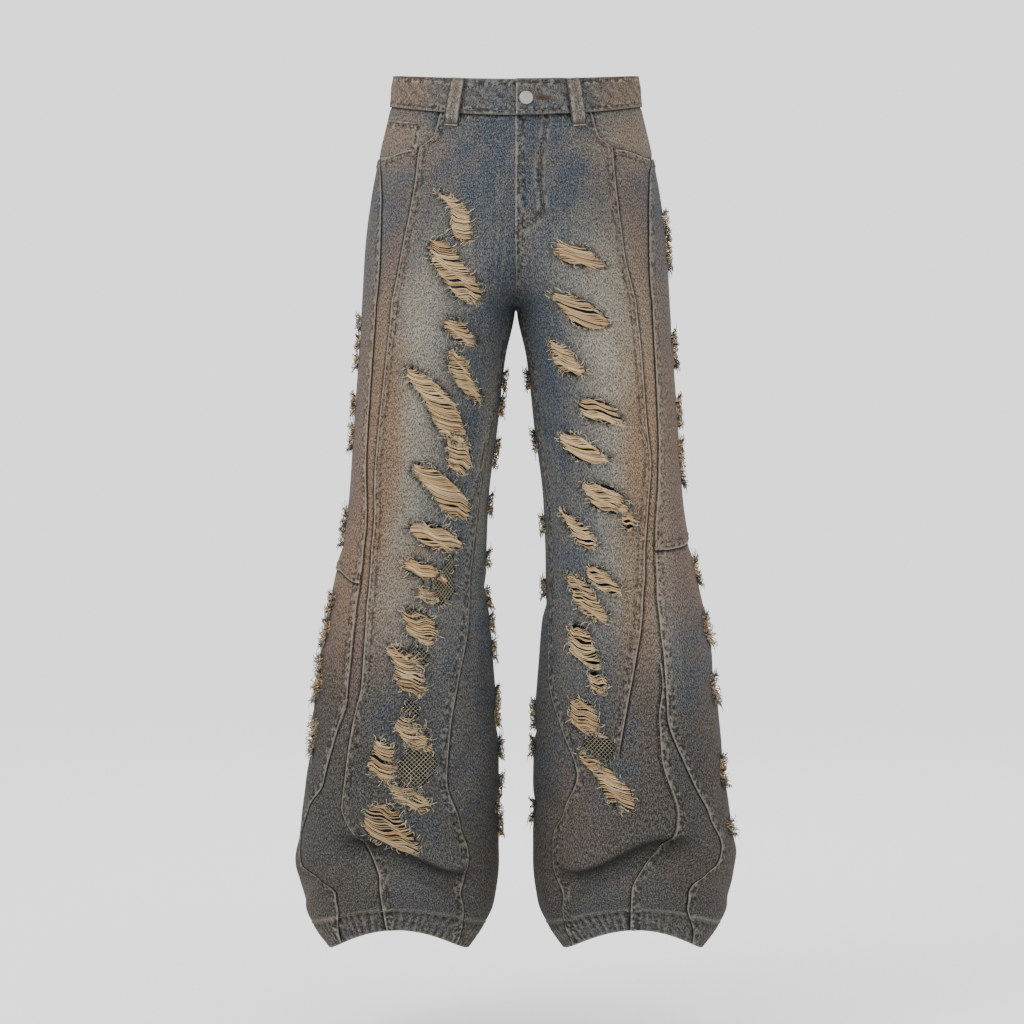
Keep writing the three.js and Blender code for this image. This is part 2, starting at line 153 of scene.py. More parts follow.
# height of the front break, where the cloth stacks on the foot; it is lower on the inner half
def foldLine(angle):
    a = wrapped(angle)
    return body["foldTop"] - foldLook["lowered"] * ease(-75, -130, a) * (1 - ease(-140, -200, a))


# strength of the break: 1 across the front, eased to 0 on both sides
def foldStrength(angle):
    a = wrapped(angle)
    return ease(-48, -72, a) * (1 - ease(-122, -150, a))


# creases laid on the tube: angle, height, turn of the line in degrees, length, width, depth, in
# millimetres; a negative depth is a trough. The hidden sides have the same kind.
creases = {
    "right": [
        (-128, -232, 38, 90, 12, -2.6), (-112, -258, 30, 110, 14, 2.2), (-104, -300, 22, 90, 13, -2.0),
        (-70, -120, -55, 80, 12, -1.4), (-60, -250, 75, 160, 16, -1.6), (-95, -540, 14, 90, 15, -2.6),
        (-88, -575, 8, 110, 16, 2.4), (-110, -612, -12, 90, 14, -2.4), (-75, -645, 10, 80, 13, 1.8),
        (-60, -790, 62, 120, 16, -3.0), (-128, -850, -58, 120, 17, -3.6), (-40, -900, 40, 110, 18, 3.2),
        (-28, -985, -32, 110, 17, -6.0), (-52, -1002, -24, 90, 14, -4.5), (-120, -990, 34, 100, 15, -4.2),
        (-80, -1000, 12, 120, 18, 2.6), (-138, -905, -40, 90, 15, -3.6), (-20, -845, 35, 120, 20, -3.0),
        (70, -268, 12, 150, 13, -4.0), (80, -300, 14, 130, 14, 3.0), (60, -335, 10, 120, 15, -2.6),
        (95, -560, 8, 120, 15, -4.2), (85, -590, -6, 130, 16, 3.6), (95, -622, 8, 120, 15, -4.0),
        (75, -660, -10, 110, 16, 2.6), (60, -880, 22, 140, 20, -4.0), (100, -930, -14, 150, 18, 3.6),
        (85, -968, 10, 150, 17, -4.6), (120, -1000, 24, 110, 17, -3.0), (180, -620, 10, 80, 15, -2.6),
        (170, -800, 30, 110, 17, -3.2), (-170, -900, -24, 110, 16, -3.6), (5, -560, 12, 90, 16, -2.4),
        (10, -700, -40, 120, 18, -2.4), (0, -960, 20, 120, 20, 3.0)],
    "left": [
        (-126, -228, 40, 90, 12, -2.6), (-112, -262, 28, 110, 14, 2.0), (-100, -302, 20, 90, 13, -2.0),
        (-66, -130, -50, 80, 12, -1.4), (-62, -260, 78, 160, 16, -1.6), (-98, -560, -10, 90, 15, -2.4),
        (-86, -600, -16, 110, 16, 2.4), (-106, -640, 14, 90, 14, -2.4), (-80, -690, 34, 90, 13, -2.2),
        (-62, -800, -60, 120, 16, -2.6), (-112, -840, 50, 120, 17, -3.6), (-44, -890, 44, 120, 18, 3.2),
        (-34, -978, -30, 110, 16, -5.6), (-60, -1000, -20, 90, 14, -4.0), (-118, -985, 36, 100, 15, -4.2),
        (-84, -1000, 10, 120, 18, 2.6), (-144, -890, -38, 90, 15, -3.6), (-16, -860, 36, 120, 20, -3.0),
        (66, -266, 14, 150, 13, -4.0), (78, -302, 12, 130, 14, 3.0), (62, -338, 8, 120, 15, -2.6),
        (90, -556, -8, 120, 15, -4.2), (82, -588, 8, 130, 16, 3.6), (98, -618, -6, 120, 15, -4.0),
        (78, -656, 12, 110, 16, 2.6), (66, -872, -20, 140, 20, -4.0), (96, -926, 12, 150, 18, 3.6),
        (82, -964, -12, 150, 17, -4.6), (118, -998, -20, 110, 17, -3.0), (178, -640, -10, 80, 15, -2.6),
        (168, -790, -28, 110, 17, -3.2), (-172, -890, 22, 110, 16, -3.6), (4, -570, -12, 90, 16, -2.4),
        (8, -710, 40, 120, 18, -2.4), (0, -955, -20, 120, 20, 3.0)],
}

creaseLook = dict(depth=1.25, perDegree=1.85, across=0.8, lengthwise=0.62)


# sum of the creases: each is a bell across its line times a bell along it, gone by the waist
def creaseLift(angle, height, leg):
    total = np.zeros(np.broadcast(angle, height).shape)
    for at, level, turn, length, width, depth in creases[leg]:
        away = (wrapped(angle) - wrapped(np.array(at)) + 180) % 360 - 180
        x, y = away * creaseLook["perDegree"], height - level
        c, s = np.cos(np.radians(turn)), np.sin(np.radians(turn))
        total += (depth * bell(-x * s + y * c, width * creaseLook["across"])
                  * bell(x * c + y * s, length * creaseLook["lengthwise"]))
    return creaseLook["depth"] * total * ease(-20, -90, height)


archLook = dict(waistSlope=0.136, waistCurve=0.000934, frontHem=35, backHem=12, hemFrom=-940)


# point of a leg's tube: an ellipse of the ring's half-widths with the creases added to both, the
# waist dipped by a parabola of depth, a bulge over the break, a recess below it, the hem lifted
def tubePoint(angle, height, leg):
    cx, rx, cy, ry = ring(height)
    below = foldLine(angle) - height
    swell = bell(np.minimum(below + 6, 0), 45) * (1 - ease(-8, 19, below))
    recess = foldLook["recess"] * bell(below - foldLook["recessAt"], 20)
    bulge = foldLook["bulge"] * foldStrength(angle) * (swell - recess)
    drop = foldLook["drop"] * foldStrength(angle) * bell(below, 12)
    relief = creaseLift(angle, height, leg)
    sine, cosine = np.sin(np.radians(angle)), np.cos(np.radians(angle))
    x = cx + (rx + 0.4 * bulge + relief) * cosine
    y = cy + (ry + bulge + relief) * sine
    waistDip = (archLook["waistSlope"] * y - archLook["waistCurve"] * y * y) * ease(-200, -10, height)
    hemLift = (np.where(sine < 0, archLook["frontHem"], archLook["backHem"]) * sine * sine
               * ease(archLook["hemFrom"], hem, height))
    side = -1 if leg == "right" else 1
    return np.stack([side * x, y, height + waistDip + hemLift - drop], axis=-1)


# point off the tube: the tube's point plus lift along the normal, the cross of its two slopes
def clothPoint(angle, height, leg, lift=0.0):
    angle, height = np.broadcast_arrays(np.asarray(angle, float), np.asarray(height, float))
    across = tubePoint(angle + 0.3, height, leg) - tubePoint(angle - 0.3, height, leg)
    down = tubePoint(angle, height - 0.6, leg) - tubePoint(angle, height + 0.6, leg)
    normal = np.cross(down, across) * (-1 if leg == "right" else 1)
    normal /= np.linalg.norm(normal, axis=-1, keepdims=True)
    return tubePoint(angle, height, leg) + normal * np.asarray(lift, float)[..., None]


# the two legs' own surfaces, as functions of angle, height and lift
def legSurface(leg):
    return lambda angle, height, lift: clothPoint(angle, height, leg, lift)


onLeg = {leg: legSurface(leg) for leg in ("right", "left")}


# millimetres a degree round the loop: the ellipse's speed at the angle
def degreeLength(angle, height):
    _, rx, _, ry = ring(np.asarray(height, float))
    a = np.radians(angle)
    return np.hypot(rx * np.sin(a), ry * np.cos(a)) * np.pi / 180


# sRGB hex to the linear colour the shaders use
def hexColour(code):
    srgb = np.array([int(code[k:k + 2], 16) for k in (0, 2, 4)]) / 255
    linear = np.where(srgb <= 0.04045, srgb / 12.92, ((srgb + 0.055) / 1.055) ** 2.4)
    return (*linear.tolist(), 1.0)


# the colours of one dictionary as arrays of three
def tints(look, *keys):
    return (np.array(hexColour(look[key])[:3]) for key in keys)


# height of the pocket mouth's foot: a slant on the strip, then a quarter sine up to the side
# seam, and down to the yoke's line behind
def pocketLevel(angle):
    beside = np.maximum(body["pocketFoot"] + 16 * (angle + 90) / 44, body["pocketFoot"])
    under = body["pocketFoot"] + 16 - 16 * np.sin(np.radians(90) * ease(-46, -8, angle))
    return np.where(angle < -46, beside, under) - 40 * ease(8, 90, angle)


# the yoke's foot: three quarters of the way from the band to the pocket's level
def yokeSeam(angle):
    return bandFoot + 0.75 * (pocketLevel(angle) - bandFoot)


# a seam as a function of height; above the crotch an inner seam follows the centre plane
def seamLine(name, above=0):
    def line(height):
        value = along(seams[name], 1, height)
        if above == 0:
            return value
        centre = above * np.degrees(np.arccos(np.clip(-parted(height), -1, 1)))
        return np.where(height > body["crotch"], centre, value)
    return line


# a border given as one number, made a function
def asLine(level):
    return level if callable(level) else lambda place: level + 0.0 * np.asarray(place)


# rips: angle and height of the upper end, of the lower end, width along the threads, sag of
# the threads, how far they puff out; the side and inner ones come as height, depth pairs
rips = {
    "right": [
        (-63, -122, -90, -195, 25, 1, .5), (-70, -190, -113, -267, 41, 1.5, .5),
        (-103, -288, -119, -318, 34, 1, .5), (-105, -326, -134, -389, 29, 1, .5),
        (-78, -347, -123, -439, 39, 1.5, .5), (-119, -430, -125, -476, 34, 2, .8),
        (-92, -465, -132, -532, 46, 2, .8), (-99, -538, -119, -572, 58, 1, .5),
        (-94, -583, -104, -606, 41, .5, .3), (-102, -617, -106, -635, 20, 2, .8),
        (-94, -643, -106, -682, 38, 8, 1.5), (-85, -688, -100, -746, 36, 6, 1.2),
        (-92, -773, -99, -813, 31, 4, 1), (-76, -803, -82, -853, 32, 2, .6),
        (-90, -857, -103, -887, 41, 4, 1.2), (-80, -881, -93, -933, 50, 2, 1)],
    "left": [
        (-90, -196, -82, -226, 51, 1, .5), (-112, -255, -93, -300, 48, 1, .5),
        (-130, -313, -112, -356, 36, 1, .5), (-105, -385, -89, -416, 46, 1, .5),
        (-125, -427, -104, -465, 46, 1, .6), (-108, -487, -90, -525, 48, 2, .8),
        (-83, -515, -82, -547, 17, 3, 1), (-136, -523, -112, -570, 28, 2, .6),
        (-114, -591, -99, -625, 34, 5, 1), (-134, -601, -107, -659, 34, 4, 1),
        (-129, -663, -115, -714, 36, 8, 1.5), (-114, -719, -108, -746, 22, 4, 1),
        (-125, -754, -114, -797, 40, 3, 1), (-118, -819, -92, -889, 34, 2, .8)],
}
openNet = {  # windows where the net shows: upper end, lower end, width, place of the widest part
    "right": [(-124, -574, -114, -640, 40, 0.8), (-98, -688, -102, -718, 34, 0.4),
              (-95, -754, -96, -784, 26, 0.5), (-104, -788, -97, -872, 54, 0.6)],
    "left": [(-110, -794, -109, -836, 50, 0.45)],
}
sideRips = {  # angle and list of height, depth; the last ones are on the back
    "right": [(-4, [(-284, 12), (-310, 12), (-335, 12), (-388, 20), (-430, 28), (-533, 20), (-558, 16)]),
              (-16, [(-639, 19), (-676, 29), (-734, 52), (-806, 42)]),
              (180, [(-357, 18), (-390, 20), (-450, 30), (-514, 20), (-583, 16), (-634, 20), (-665, 16),
                     (-698, 18), (-771, 46), (-823, 20), (-880, 42), (-921, 16)]),
              (58, [(-300, 34), (-415, 40), (-530, 36)]), (64, [(-660, 44), (-770, 40), (-870, 36)]),
              (54, [(-255, 20)])],
    "left": [(-4, [(-160, 26), (-196, 34), (-320, 40), (-398, 32), (-462, 52), (-600, 30)]),
             (-14, [(-672, 34), (-748, 34), (-851, 36), (-922, 16)]),
             (180, [(-357, 18), (-434, 20), (-540, 16), (-620, 18), (-780, 30), (-821, 16), (-903, 22)]),
             (58, [(-290, 30), (-395, 38), (-510, 44), (-640, 40)]), (64, [(-765, 40), (-870, 34)]),
             (118, [(-215, 22)])],
}
for leg, groups in sideRips.items():
    for angle, holes in groups:
        lean, across, puff = (5, 30, 1.0) if 20 < angle < 170 else (2, 21, 7.0)
        for n, (level, depth) in enumerate(holes):
            rips[leg].append((angle - lean, level + depth / 2, angle + lean, level - depth / 2,
                              across + 4 * (n % 2), 2, puff))


# half-width of a hole at v of its depth, negative past its ends: a rip is blunt, a flattened
# ellipse that widens downwards; an open window is pointed with its widest place at peak
def ripHalf(rip, v):
    h0, h1, width = rip[1], rip[3], rip[4]
    shape = np.sqrt(np.clip(1 - np.abs(2 * v - 1) ** 4.5, 0, 1)) * (0.84 + 0.28 * v)
    if len(rip) == 6:
        peak = rip[5]
        shape = np.clip(np.where(v < peak, v / peak, (1 - v) / (1 - peak)), 0, 1) ** 0.75
    return np.where((v > 0) & (v < 1), shape * width / 2, -np.maximum(-v, v - 1) * (h0 - h1))


# angle of a hole's middle at v of its depth: a straight line, with a sine bend on the rips
def ripCentre(rip, v):
    a0, h0, a1, h1 = rip[:4]
    bend = 2.2 * np.sin(2 * np.pi * v + h0 * 0.7) * min(1.0, (h0 - h1) / 60)
    return a0 + (a1 - a0) * v + (bend if len(rip) > 6 else 0)


# field that is positive inside the holes: half-width less the distance from the rip's middle,
# plus three small sines that make the border ragged
def ripField(angle, height, leg):
    a = (np.asarray(angle) + 400) % 360 - 400
    field = np.full(a.shape, -99.0)
    ragged = (1.3 * np.sin(height * 0.93 + a * 1.3) + 1.1 * np.sin(height * 0.41 - a * 0.7)
              + 0.6 * np.sin(height * 0.17 + a))
    for rip in rips[leg] + openNet[leg]:
        v = (rip[1] - height) / (rip[1] - rip[3])
        off = (a - ripCentre(rip, np.clip(v, 0, 1)) + 180) % 360 - 180
        away = np.abs(off) * degreeLength(angle, height)
        field = np.maximum(field, ripHalf(rip, v) - away + ragged)
    return field


# colour of the cloth, given by kind: angle, height, reach in degrees and in height,
# strength; blue is cloth that kept its indigo. The last ones of each kind are at the back.
washes = {
    "right": {
        "fade": [(-78, -400, 30, 190, .85), (-152, -480, 16, 150, .5), (-82, -250, 26, 70, .35),
                 (-84, -640, 26, 110, .5), (-128, -740, 22, 150, .25), (-84, -960, 30, 40, .25),
                 (-30, -50, 30, 40, .3), (-100, -1000, 30, 60, .15), (88, -420, 34, 170, .9),
                 (60, -160, 30, 50, .5), (92, -700, 30, 110, .35)],
        "rust": [(-24, -50, 40, 48, .6), (-46, -230, 20, 90, .35), (-50, -440, 20, 190, .95),
                 (-62, -470, 14, 110, .75), (-6, -420, 26, 220, .55), (-20, -640, 40, 130, .6),
                 (-80, -690, 16, 80, .4), (-108, -860, 14, 40, .25), (-52, -760, 20, 90, .5),
                 (-30, -1010, 50, 60, .4), (-150, -990, 24, 90, .4), (-96, -590, 14, 30, .55),
                 (-16, -1020, 30, 60, .4), (34, -380, 22, 190, .8), (40, -660, 24, 120, .5),
                 (128, -760, 24, 120, .5)],
        "grime": [(-40, -890, 60, 120, .5), (-100, -1050, 100, 55, .2), (-10, -1000, 34, 80, .95),
                  (-20, -740, 40, 90, .25), (-92, -800, 20, 80, .4), (90, -1010, 100, 80, .8),
                  (60, -880, 60, 70, .4), (180, -1000, 40, 90, .5)],
        "blue": [(-104, -90, 26, 90, .8), (-108, -810, 30, 100, .85), (-110, -1000, 34, 90, .5),
                 (-150, -230, 24, 60, .5), (-120, -640, 22, 120, .5), (-78, -790, 26, 40, .4),
                 (-150, -880, 26, 80, .5)]},
    "left": {
        "fade": [(-80, -380, 28, 170, .92), (-56, -420, 14, 200, .65), (-152, -480, 16, 150, .35),
                 (-96, -280, 22, 70, .4), (-96, -600, 24, 110, .45), (-70, -215, 14, 40, .3),
                 (-128, -720, 22, 130, .25), (-66, -700, 10, 90, .5), (-30, -50, 30, 40, .5),
                 (-100, -1000, 30, 60, .2), (86, -410, 34, 170, .9), (62, -160, 30, 50, .5),
                 (90, -690, 30, 110, .35)],
        "rust": [(-24, -50, 40, 48, .5), (-46, -180, 18, 90, .4), (-56, -400, 18, 160, .8),
                 (-72, -500, 14, 120, .75), (-84, -680, 14, 110, .8), (-16, -420, 28, 220, .65),
                 (-30, -620, 36, 90, .4), (-120, -880, 22, 90, .5), (-44, -960, 40, 60, .4),
                 (-76, -860, 16, 60, .35), (-150, -960, 24, 90, .4), (-30, -820, 18, 110, .5),
                 (-10, -1010, 26, 60, .5), (34, -380, 22, 190, .8), (42, -650, 24, 120, .5),
                 (126, -740, 24, 120, .5)],
        "grime": [(-40, -890, 60, 120, .45), (-100, -1050, 100, 60, .12), (-6, -1000, 30, 80, .7),
                  (90, -1010, 100, 80, .8), (60, -880, 60, 70, .4), (180, -1000, 40, 90, .5)],
        "blue": [(-86, -120, 9, 34, 1.0), (-112, -90, 22, 80, .5), (-150, -230, 24, 60, .5),
                 (-100, -1000, 34, 90, .5), (-40, -700, 26, 90, .5), (-98, -800, 24, 70, .7),
                 (-140, -560, 24, 200, .5)]},
}


# fade, rust and grime at a place: the sum of each kind's bells, and blue takes all three away
def washTone(angle, height, leg):
    sums = {kind: sum(strength * bell((angle - at + 180) % 360 - 180, wide) * bell(height - level, tall)
                      for at, level, wide, tall, strength in blobs)
            for kind, blobs in washes[leg].items()}
    blueTop = 0.5 * bell(angle + 112, 34) * bell(height + 150, 110)
    clear = 1 - 0.85 * np.clip(sums["blue"] + blueTop, 0, 1)
    grime = np.clip(sums["grime"] + 0.10 + 0.5 * ease(-620, -780, height), 0, 1.3)
    return np.stack([np.clip(sums["fade"], 0, 1) * clear, np.clip(sums["rust"], 0, 1) * clear,
                     grime * (0.5 + 0.5 * clear)], axis=-1)


# how far each style of edge reaches past its seam
edgeReach = {"over": -0.7, "under": -3.2, "band": -3.5, "behind": -6.0, "free": 0.0, "mouth": 0.0}


# lift of the cloth at a distance from an edge: a folded edge is raised by its allowance and turns
# down at the fold, a tucked one sinks under its neighbour, both eased over a few millimetres
def edgeLift(style, d):
    if style in ("over", "mouth"):
        return 1.05 * (1 - ease(9, 13.5, d)) - 0.45 * (1 - ease(-0.7, 0.9, d))
    if style == "under":
        return -0.8 * (1 - ease(0.8, 5, d)) - 0.5 * (1 - ease(-2.2, -0.2, d))
    if style == "band":
        return -1.6 * (1 - ease(1.0, 7, d))
    return -1.9 * (1 - ease(0, 9, d)) if style == "behind" else 0 * d


# worn pale edge, dark line and strength of the stitch puckers, each a bell about its distance
# The dark line is painted shade, with some dirt, in the groove where an edge tucks under its neighbour, and
# painted shade in the needle pits beside the stitch rows.
def edgeMarks(style, d):
    if style in ("over", "mouth"):
        strong = 0.85 if style == "mouth" else 0.6
        pits = 0.9 * bell(d - 2.8, 1.9) + 0.7 * bell(d - 8.4, 1.8)
        return strong * bell(d - 0.1, 1.3), 0.35 * bell(d - 2.4, 1.0) + 0.35 * bell(d - 8.6, 1.2), pits
    if style == "under":
        return 0 * d, 1.9 * bell(d - 0.6, 2.6), 0.3 * bell(d - 3.8, 2.2)
    if style in ("band", "behind"):
        return 0 * d, 0.95 * bell(d, 3.0), 0.3 * bell(d - 4, 3)
    return 0.5 * bell(d, 1.2), 0 * d, 0 * d


gridStep = 5.3
nearEdge = np.array([0, 0.8, 1.8, 3.2, 5.5, 8.5, 12.5])
puckerLook = dict(wave=0.38, pitch=13, perDegree=1.8, streakLift=0.5, foldShade=0.85)


# distances across a width, as shares of it: fine by both edges, even steps between them
def spread(width, count, first, last):
    width = np.asarray(width, float)[..., None]
    small = np.minimum(1, width / 44)
    head, tail = (np.concatenate([[end], nearEdge]) if end < 0 else nearEdge for end in (first, last))
    middle = np.linspace(0, 1, count + 2)[1:-1]
    a, b = nearEdge[-1] * small, width - nearEdge[-1] * small
    rows = [head * small, a + (b - a) * middle, width - (tail * small)[..., ::-1]]
    return np.concatenate(rows, axis=-1) / width


# grid of one panel. Rows run down, columns run round the leg: a place is the share across between
# its side borders and the share down between its top and foot. Lift and marks are the sums of
# what the four edges give, times a strength; the hem adds slanted streaks, the break its shade.
def panelGrid(leg, left, right, top, foot, styles, strength=(None,) * 4):
    topAt, footAt = asLine(top), asLine(foot)
    middle = float((left(np.array(-60.0)) + right(np.array(-60.0))) / 2)
    midTop, midFoot = float(topAt(middle)), float(footAt(middle))
    length = abs(midTop - midFoot)
    rows = max(int((length - 2 * nearEdge[-1]) / gridStep), 3)
    down = spread(length, rows, edgeReach[styles[2]], edgeReach[styles[3]]).ravel()
    levels = np.linspace(midTop, midFoot, 24)
    widest = np.max(np.abs(right(levels) - left(levels)) * degreeLength(-50, levels))
    count = max(int((widest - 2 * nearEdge[-1]) / gridStep), 2)
    height = midTop + (midFoot - midTop) * down
    a, b = left(height), right(height)
    for _ in range(5):  # the borders' heights depend on the angle, so they are settled in turns
        ha = topAt(a) + (footAt(a) - topAt(a)) * down
        hb = topAt(b) + (footAt(b) - topAt(b)) * down
        a, b = left(ha), right(hb)
    width = np.abs(b - a) * (degreeLength(a, ha) + degreeLength(b, hb)) / 2
    part = spread(width, count, edgeReach[styles[0]], edgeReach[styles[1]])
    angle = a[:, None] + (b - a)[:, None] * part
    down, width = down[:, None], width[:, None]
    height = topAt(angle) + (footAt(angle) - topAt(angle)) * down
    depth = topAt(angle) - footAt(angle)
    distances = [part * width, (1 - part) * width, down * depth, (1 - down) * depth]
    lift, pale, dark, pucker = (np.zeros(angle.shape) for _ in range(4))
    for side, (style, d) in enumerate(zip(styles, distances)):
        k = strength[side](height) if strength[side] else 1.0
        run = height if side < 2 else angle * puckerLook["perDegree"]
        marks = edgeMarks(style, d)
        wave = np.sin(2 * np.pi * run / puckerLook["pitch"] + 1.6 * np.sin(run / 19.0))
        lift = lift + k * edgeLift(style, d) + puckerLook["wave"] * k * marks[2] * wave
        pale, dark, pucker = pale + k * marks[0], dark + k * marks[1], pucker + k * marks[2]
    if foot == hem:
        stitch = body["hemStitch"]
        inTurnup = ease(stitch + 4, stitch - 3, height)
        streak = np.sin(angle * 1.2 + 0.1 * height + 1.2 * np.sin(angle * 0.23)) * inTurnup
        below = foldLine(angle) - height
        lift, pucker = lift + puckerLook["streakLift"] * streak, pucker + 0.25 * inTurnup
        pale = pale + 0.6 * bell(height - stitch, 1.6) + 0.2 * np.maximum(streak, 0)
        dark = dark + 0.5 * bell(height - stitch + 3, 2.2) + 0.4 * np.maximum(-streak, 0)
        # painted shadow below the overhang of the break, added to the dark marks
        dark = dark + (puckerLook["foldShade"] * foldStrength(angle) * bell(below - 15, 15)
                       * ease(-4, 10, below))
    return dict(leg=leg, angle=angle, height=height, lift=lift, pale=pale, dark=dark, pucker=pucker,
                edge=np.minimum.reduce(distances))


# the fly's J-shaped stitch: angles and heights from the band down to the centre seam
flyAngles = np.array([-76.2, -80, -85.6, -89, -94, -99, -104.4, -108, -111.3])
flyHeights = np.array([-12, -60, -126, -150, -161, -168, -174, -178, -180.0])


# marks beside the J, by the distance to its nearest leg: dark between its two rows, pale outside
# them, puckers on both
def flyMarks(grid):
    perDegree = float(degreeLength(-90, -120))
    x, y = grid["angle"] * perDegree, grid["height"]
    near = np.full(x.shape, 99.0)
    for k in range(len(flyAngles) - 1):
        x0, y0 = flyAngles[k] * perDegree, flyHeights[k]
        dx, dy = flyAngles[k + 1] * perDegree - x0, flyHeights[k + 1] - y0
        t = np.clip(((x - x0) * dx + (y - y0) * dy) / (dx * dx + dy * dy), 0, 1)
        near = np.minimum(near, np.hypot(x - x0 - t * dx, y - y0 - t * dy))
    grid["dark"] += 0.5 * bell(near - 1.5, 1.6)
    grid["pale"] += 0.15 * bell(near - 5.5, 2.4)
    grid["pucker"] += 0.5 * bell(near - 3.0, 3.4)
    grid["lift"] += 0.3 * bell(near - 6, 2.5) - 0.35 * bell(near - 1.5, 2.0)
    return grid


# moves the grid places nearest the rips' borders onto them, along the grid's own lines
def snapToRips(grid):
    field = np.minimum(ripField(grid["angle"], grid["height"], grid["leg"]), grid["edge"] - 3.5)
    best = np.full(field.shape, 9.0)
    moved = [grid["angle"].copy(), grid["height"].copy()]
    for axis, step in ((0, 1), (0, -1), (1, 1), (1, -1)):
        other = np.roll(field, step, axis)
        crosses = (field * other < 0)
        t = np.where(crosses, field / np.where(crosses, field - other, 1), 9.0)
        take = (t <= 0.5) & (t < best)
        best = np.where(take, t, best)
        for n, key in enumerate(("angle", "height")):
            near = np.roll(grid[key], step, axis)
            moved[n] = np.where(take, grid[key] + (near - grid[key]) * t, moved[n])
    grid["angle"], grid["height"] = moved
    grid["field"] = np.where(best <= 0.5, 0.0, field)


# faces of a grid: whole cells outside the rips, and the outer half of a cell cut corner to corner
def gridFaces(shape, field=None):
    index = np.arange(shape[0] * shape[1]).reshape(shape)
    corners = np.stack([index[:-1, :-1], index[1:, :-1], index[1:, 1:], index[:-1, 1:]], axis=-1)
    corners = corners.reshape(-1, 4)
    if field is None:
        return corners.tolist()
    f = field.ravel()[corners]
    whole = (f.max(axis=1) <= 0) & (f.min(axis=1) < 0)
    cut = (f.max(axis=1) > 0) & (f.min(axis=1) < 0)
    faces = corners[whole].tolist()
    for k in range(4):
        a, b = (k + 3) % 4, (k + 1) % 4
        pick = cut & (f[:, k] < 0) & (f[:, a] <= 0) & (f[:, b] <= 0)
        faces += corners[pick][:, [a, k, b]].tolist()
    return faces


# mesh object from points in millimetres, with per-point colours and cloth coordinates
def makePiece(name, points, faces, materials, colours=None, uv=None):
    mesh = bpy.data.meshes.new(name)
    mesh.from_pydata((np.asarray(points).reshape(-1, 3) / 1000).tolist(), [], faces)
    for key, values in (colours or {}).items():
        layer = mesh.attributes.new(key, "FLOAT_COLOR", "POINT")
        flat = np.ones((len(mesh.vertices), 4))
        flat[:, :3] = values.reshape(-1, 3)
        layer.data.foreach_set("color", flat.ravel())
    if uv is not None:
        corner = np.empty(len(mesh.loops), int)
        mesh.loops.foreach_get("vertex_index", corner)
        mesh.uv_layers.new(name="cloth").data.foreach_set("uv", uv.reshape(-1, 2)[corner].ravel())
    mesh.polygons.foreach_set("use_smooth", np.full(len(mesh.polygons), True))
    mesh.update()
    for material in materials:
        mesh.materials.append(material)
    piece = bpy.data.objects.new(name, mesh)
    bpy.context.scene.collection.objects.link(piece)
    return piece


# turns the faces round if the first of them look inwards
def outwardFaces(points, faces, outward):
    first = len(faces) // 3
    sample = np.array([face[:3] for face in faces[first:first + 60]])
    a, b, c = (points[sample[:, n]] for n in range(3))
    facing = np.einsum("ij,ij->i", np.cross(b - a, c - a), outward[sample[:, 0]]).sum()
    return faces if facing > 0 else [face[::-1] for face in faces]


# one piece of cloth from grids of places: each place lifted off its surface, a wall laid about
# it with the wrong side inside. Its cut is the longest row by the longest column, measured flat.
def clothPiece(name, grids, node, materials=None, wall=body["wall"], hasRips=False, pointAt=None,
               tone=None):
    points, tones, marks, uvs, faces, outward, start, sizes = [], [], [], [], [], [], 0, []
    for grid in grids:
        place = pointAt or onLeg[grid["leg"]]
        if hasRips:
            snapToRips(grid)
        angle, height, lift = grid["angle"], grid["height"], grid["lift"]
        spot = place(angle, height, lift)
        gap = np.linalg.norm(np.diff(spot, axis=1), axis=2)
        fall = np.linalg.norm(np.diff(spot, axis=0), axis=2)
        cell = (gap[:-1] + gap[1:]) / 2 * (fall[:, :-1] + fall[:, 1:]) / 2
        sizes.append((gap.sum(axis=1).max(), fall.sum(axis=0).max(), cell.sum()))
        u = np.concatenate([np.zeros((len(spot), 1)), np.cumsum(gap, axis=1)], axis=1)
        u = u - u[:, u.shape[1] // 2][:, None]
        # round the rips: pale frayed cloth at the border and, a little further out, a ring of painted
        # shadow cast by the fringe
        if hasRips:
            outside = np.minimum(grid["field"], 0)
            grid["pale"] = grid["pale"] + 0.2 * bell(outside, 3.4)
            grid["dark"] = grid["dark"] + 0.38 * bell(outside + 2.5, 4.0)
        points.append(spot.reshape(-1, 3))
        outward.append((place(angle, height, lift + 1) - spot).reshape(-1, 3))
        toned = tone(grid) if tone else washTone(angle, height, grid["leg"])
        tones.append(toned.reshape(-1, 3))
        marks.append(np.stack([grid["pale"], grid["dark"], grid["pucker"]], axis=-1).reshape(-1, 3))
        uvs.append(np.stack([u / 100, height / 100], axis=-1).reshape(-1, 2))
        faces += [[n + start for n in face] for face in gridFaces(angle.shape, grid.get("field"))]
        start += angle.size
    points, outward, tones, marks, uvs = map(np.concatenate, (points, outward, tones, marks, uvs))
    faces = outwardFaces(points, faces, outward)
    used = np.zeros(len(points), bool)
    used[np.concatenate([np.array(face) for face in faces])] = True
    fresh = np.cumsum(used) - 1
    faces = [[int(fresh[n]) for n in face] for face in faces]
    # the seam attribute holds the pale, dark and pucker marks; its dark part includes painted shade in
    # grooves, under the break and round the rips
    colours = {"tone": tones[used], "seam": np.clip(marks[used], 0, 1)}
    piece = makePiece(name, points[used], faces, materials or denimSet, colours, uvs[used])
    shell = piece.modifiers.new("wall", "SOLIDIFY")
    shell.thickness, shell.offset = wall / 1000, 0
    shell.material_offset, shell.material_offset_rim = 1, 2
    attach(piece, "root")
    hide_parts(node)
    width = max(size[0] for size in sizes) + sum(size[0] for size in sizes[1:]) * 0.5
    length = max(size[1] for size in sizes)
    area = sum(size[2] for size in sizes)
    width = max(width, area / length * 1.02)
    print(f"{name}: cut {width:.0f} x {length:.0f} mm, {area / 1e6:.4f} m2, {len(faces)} faces")


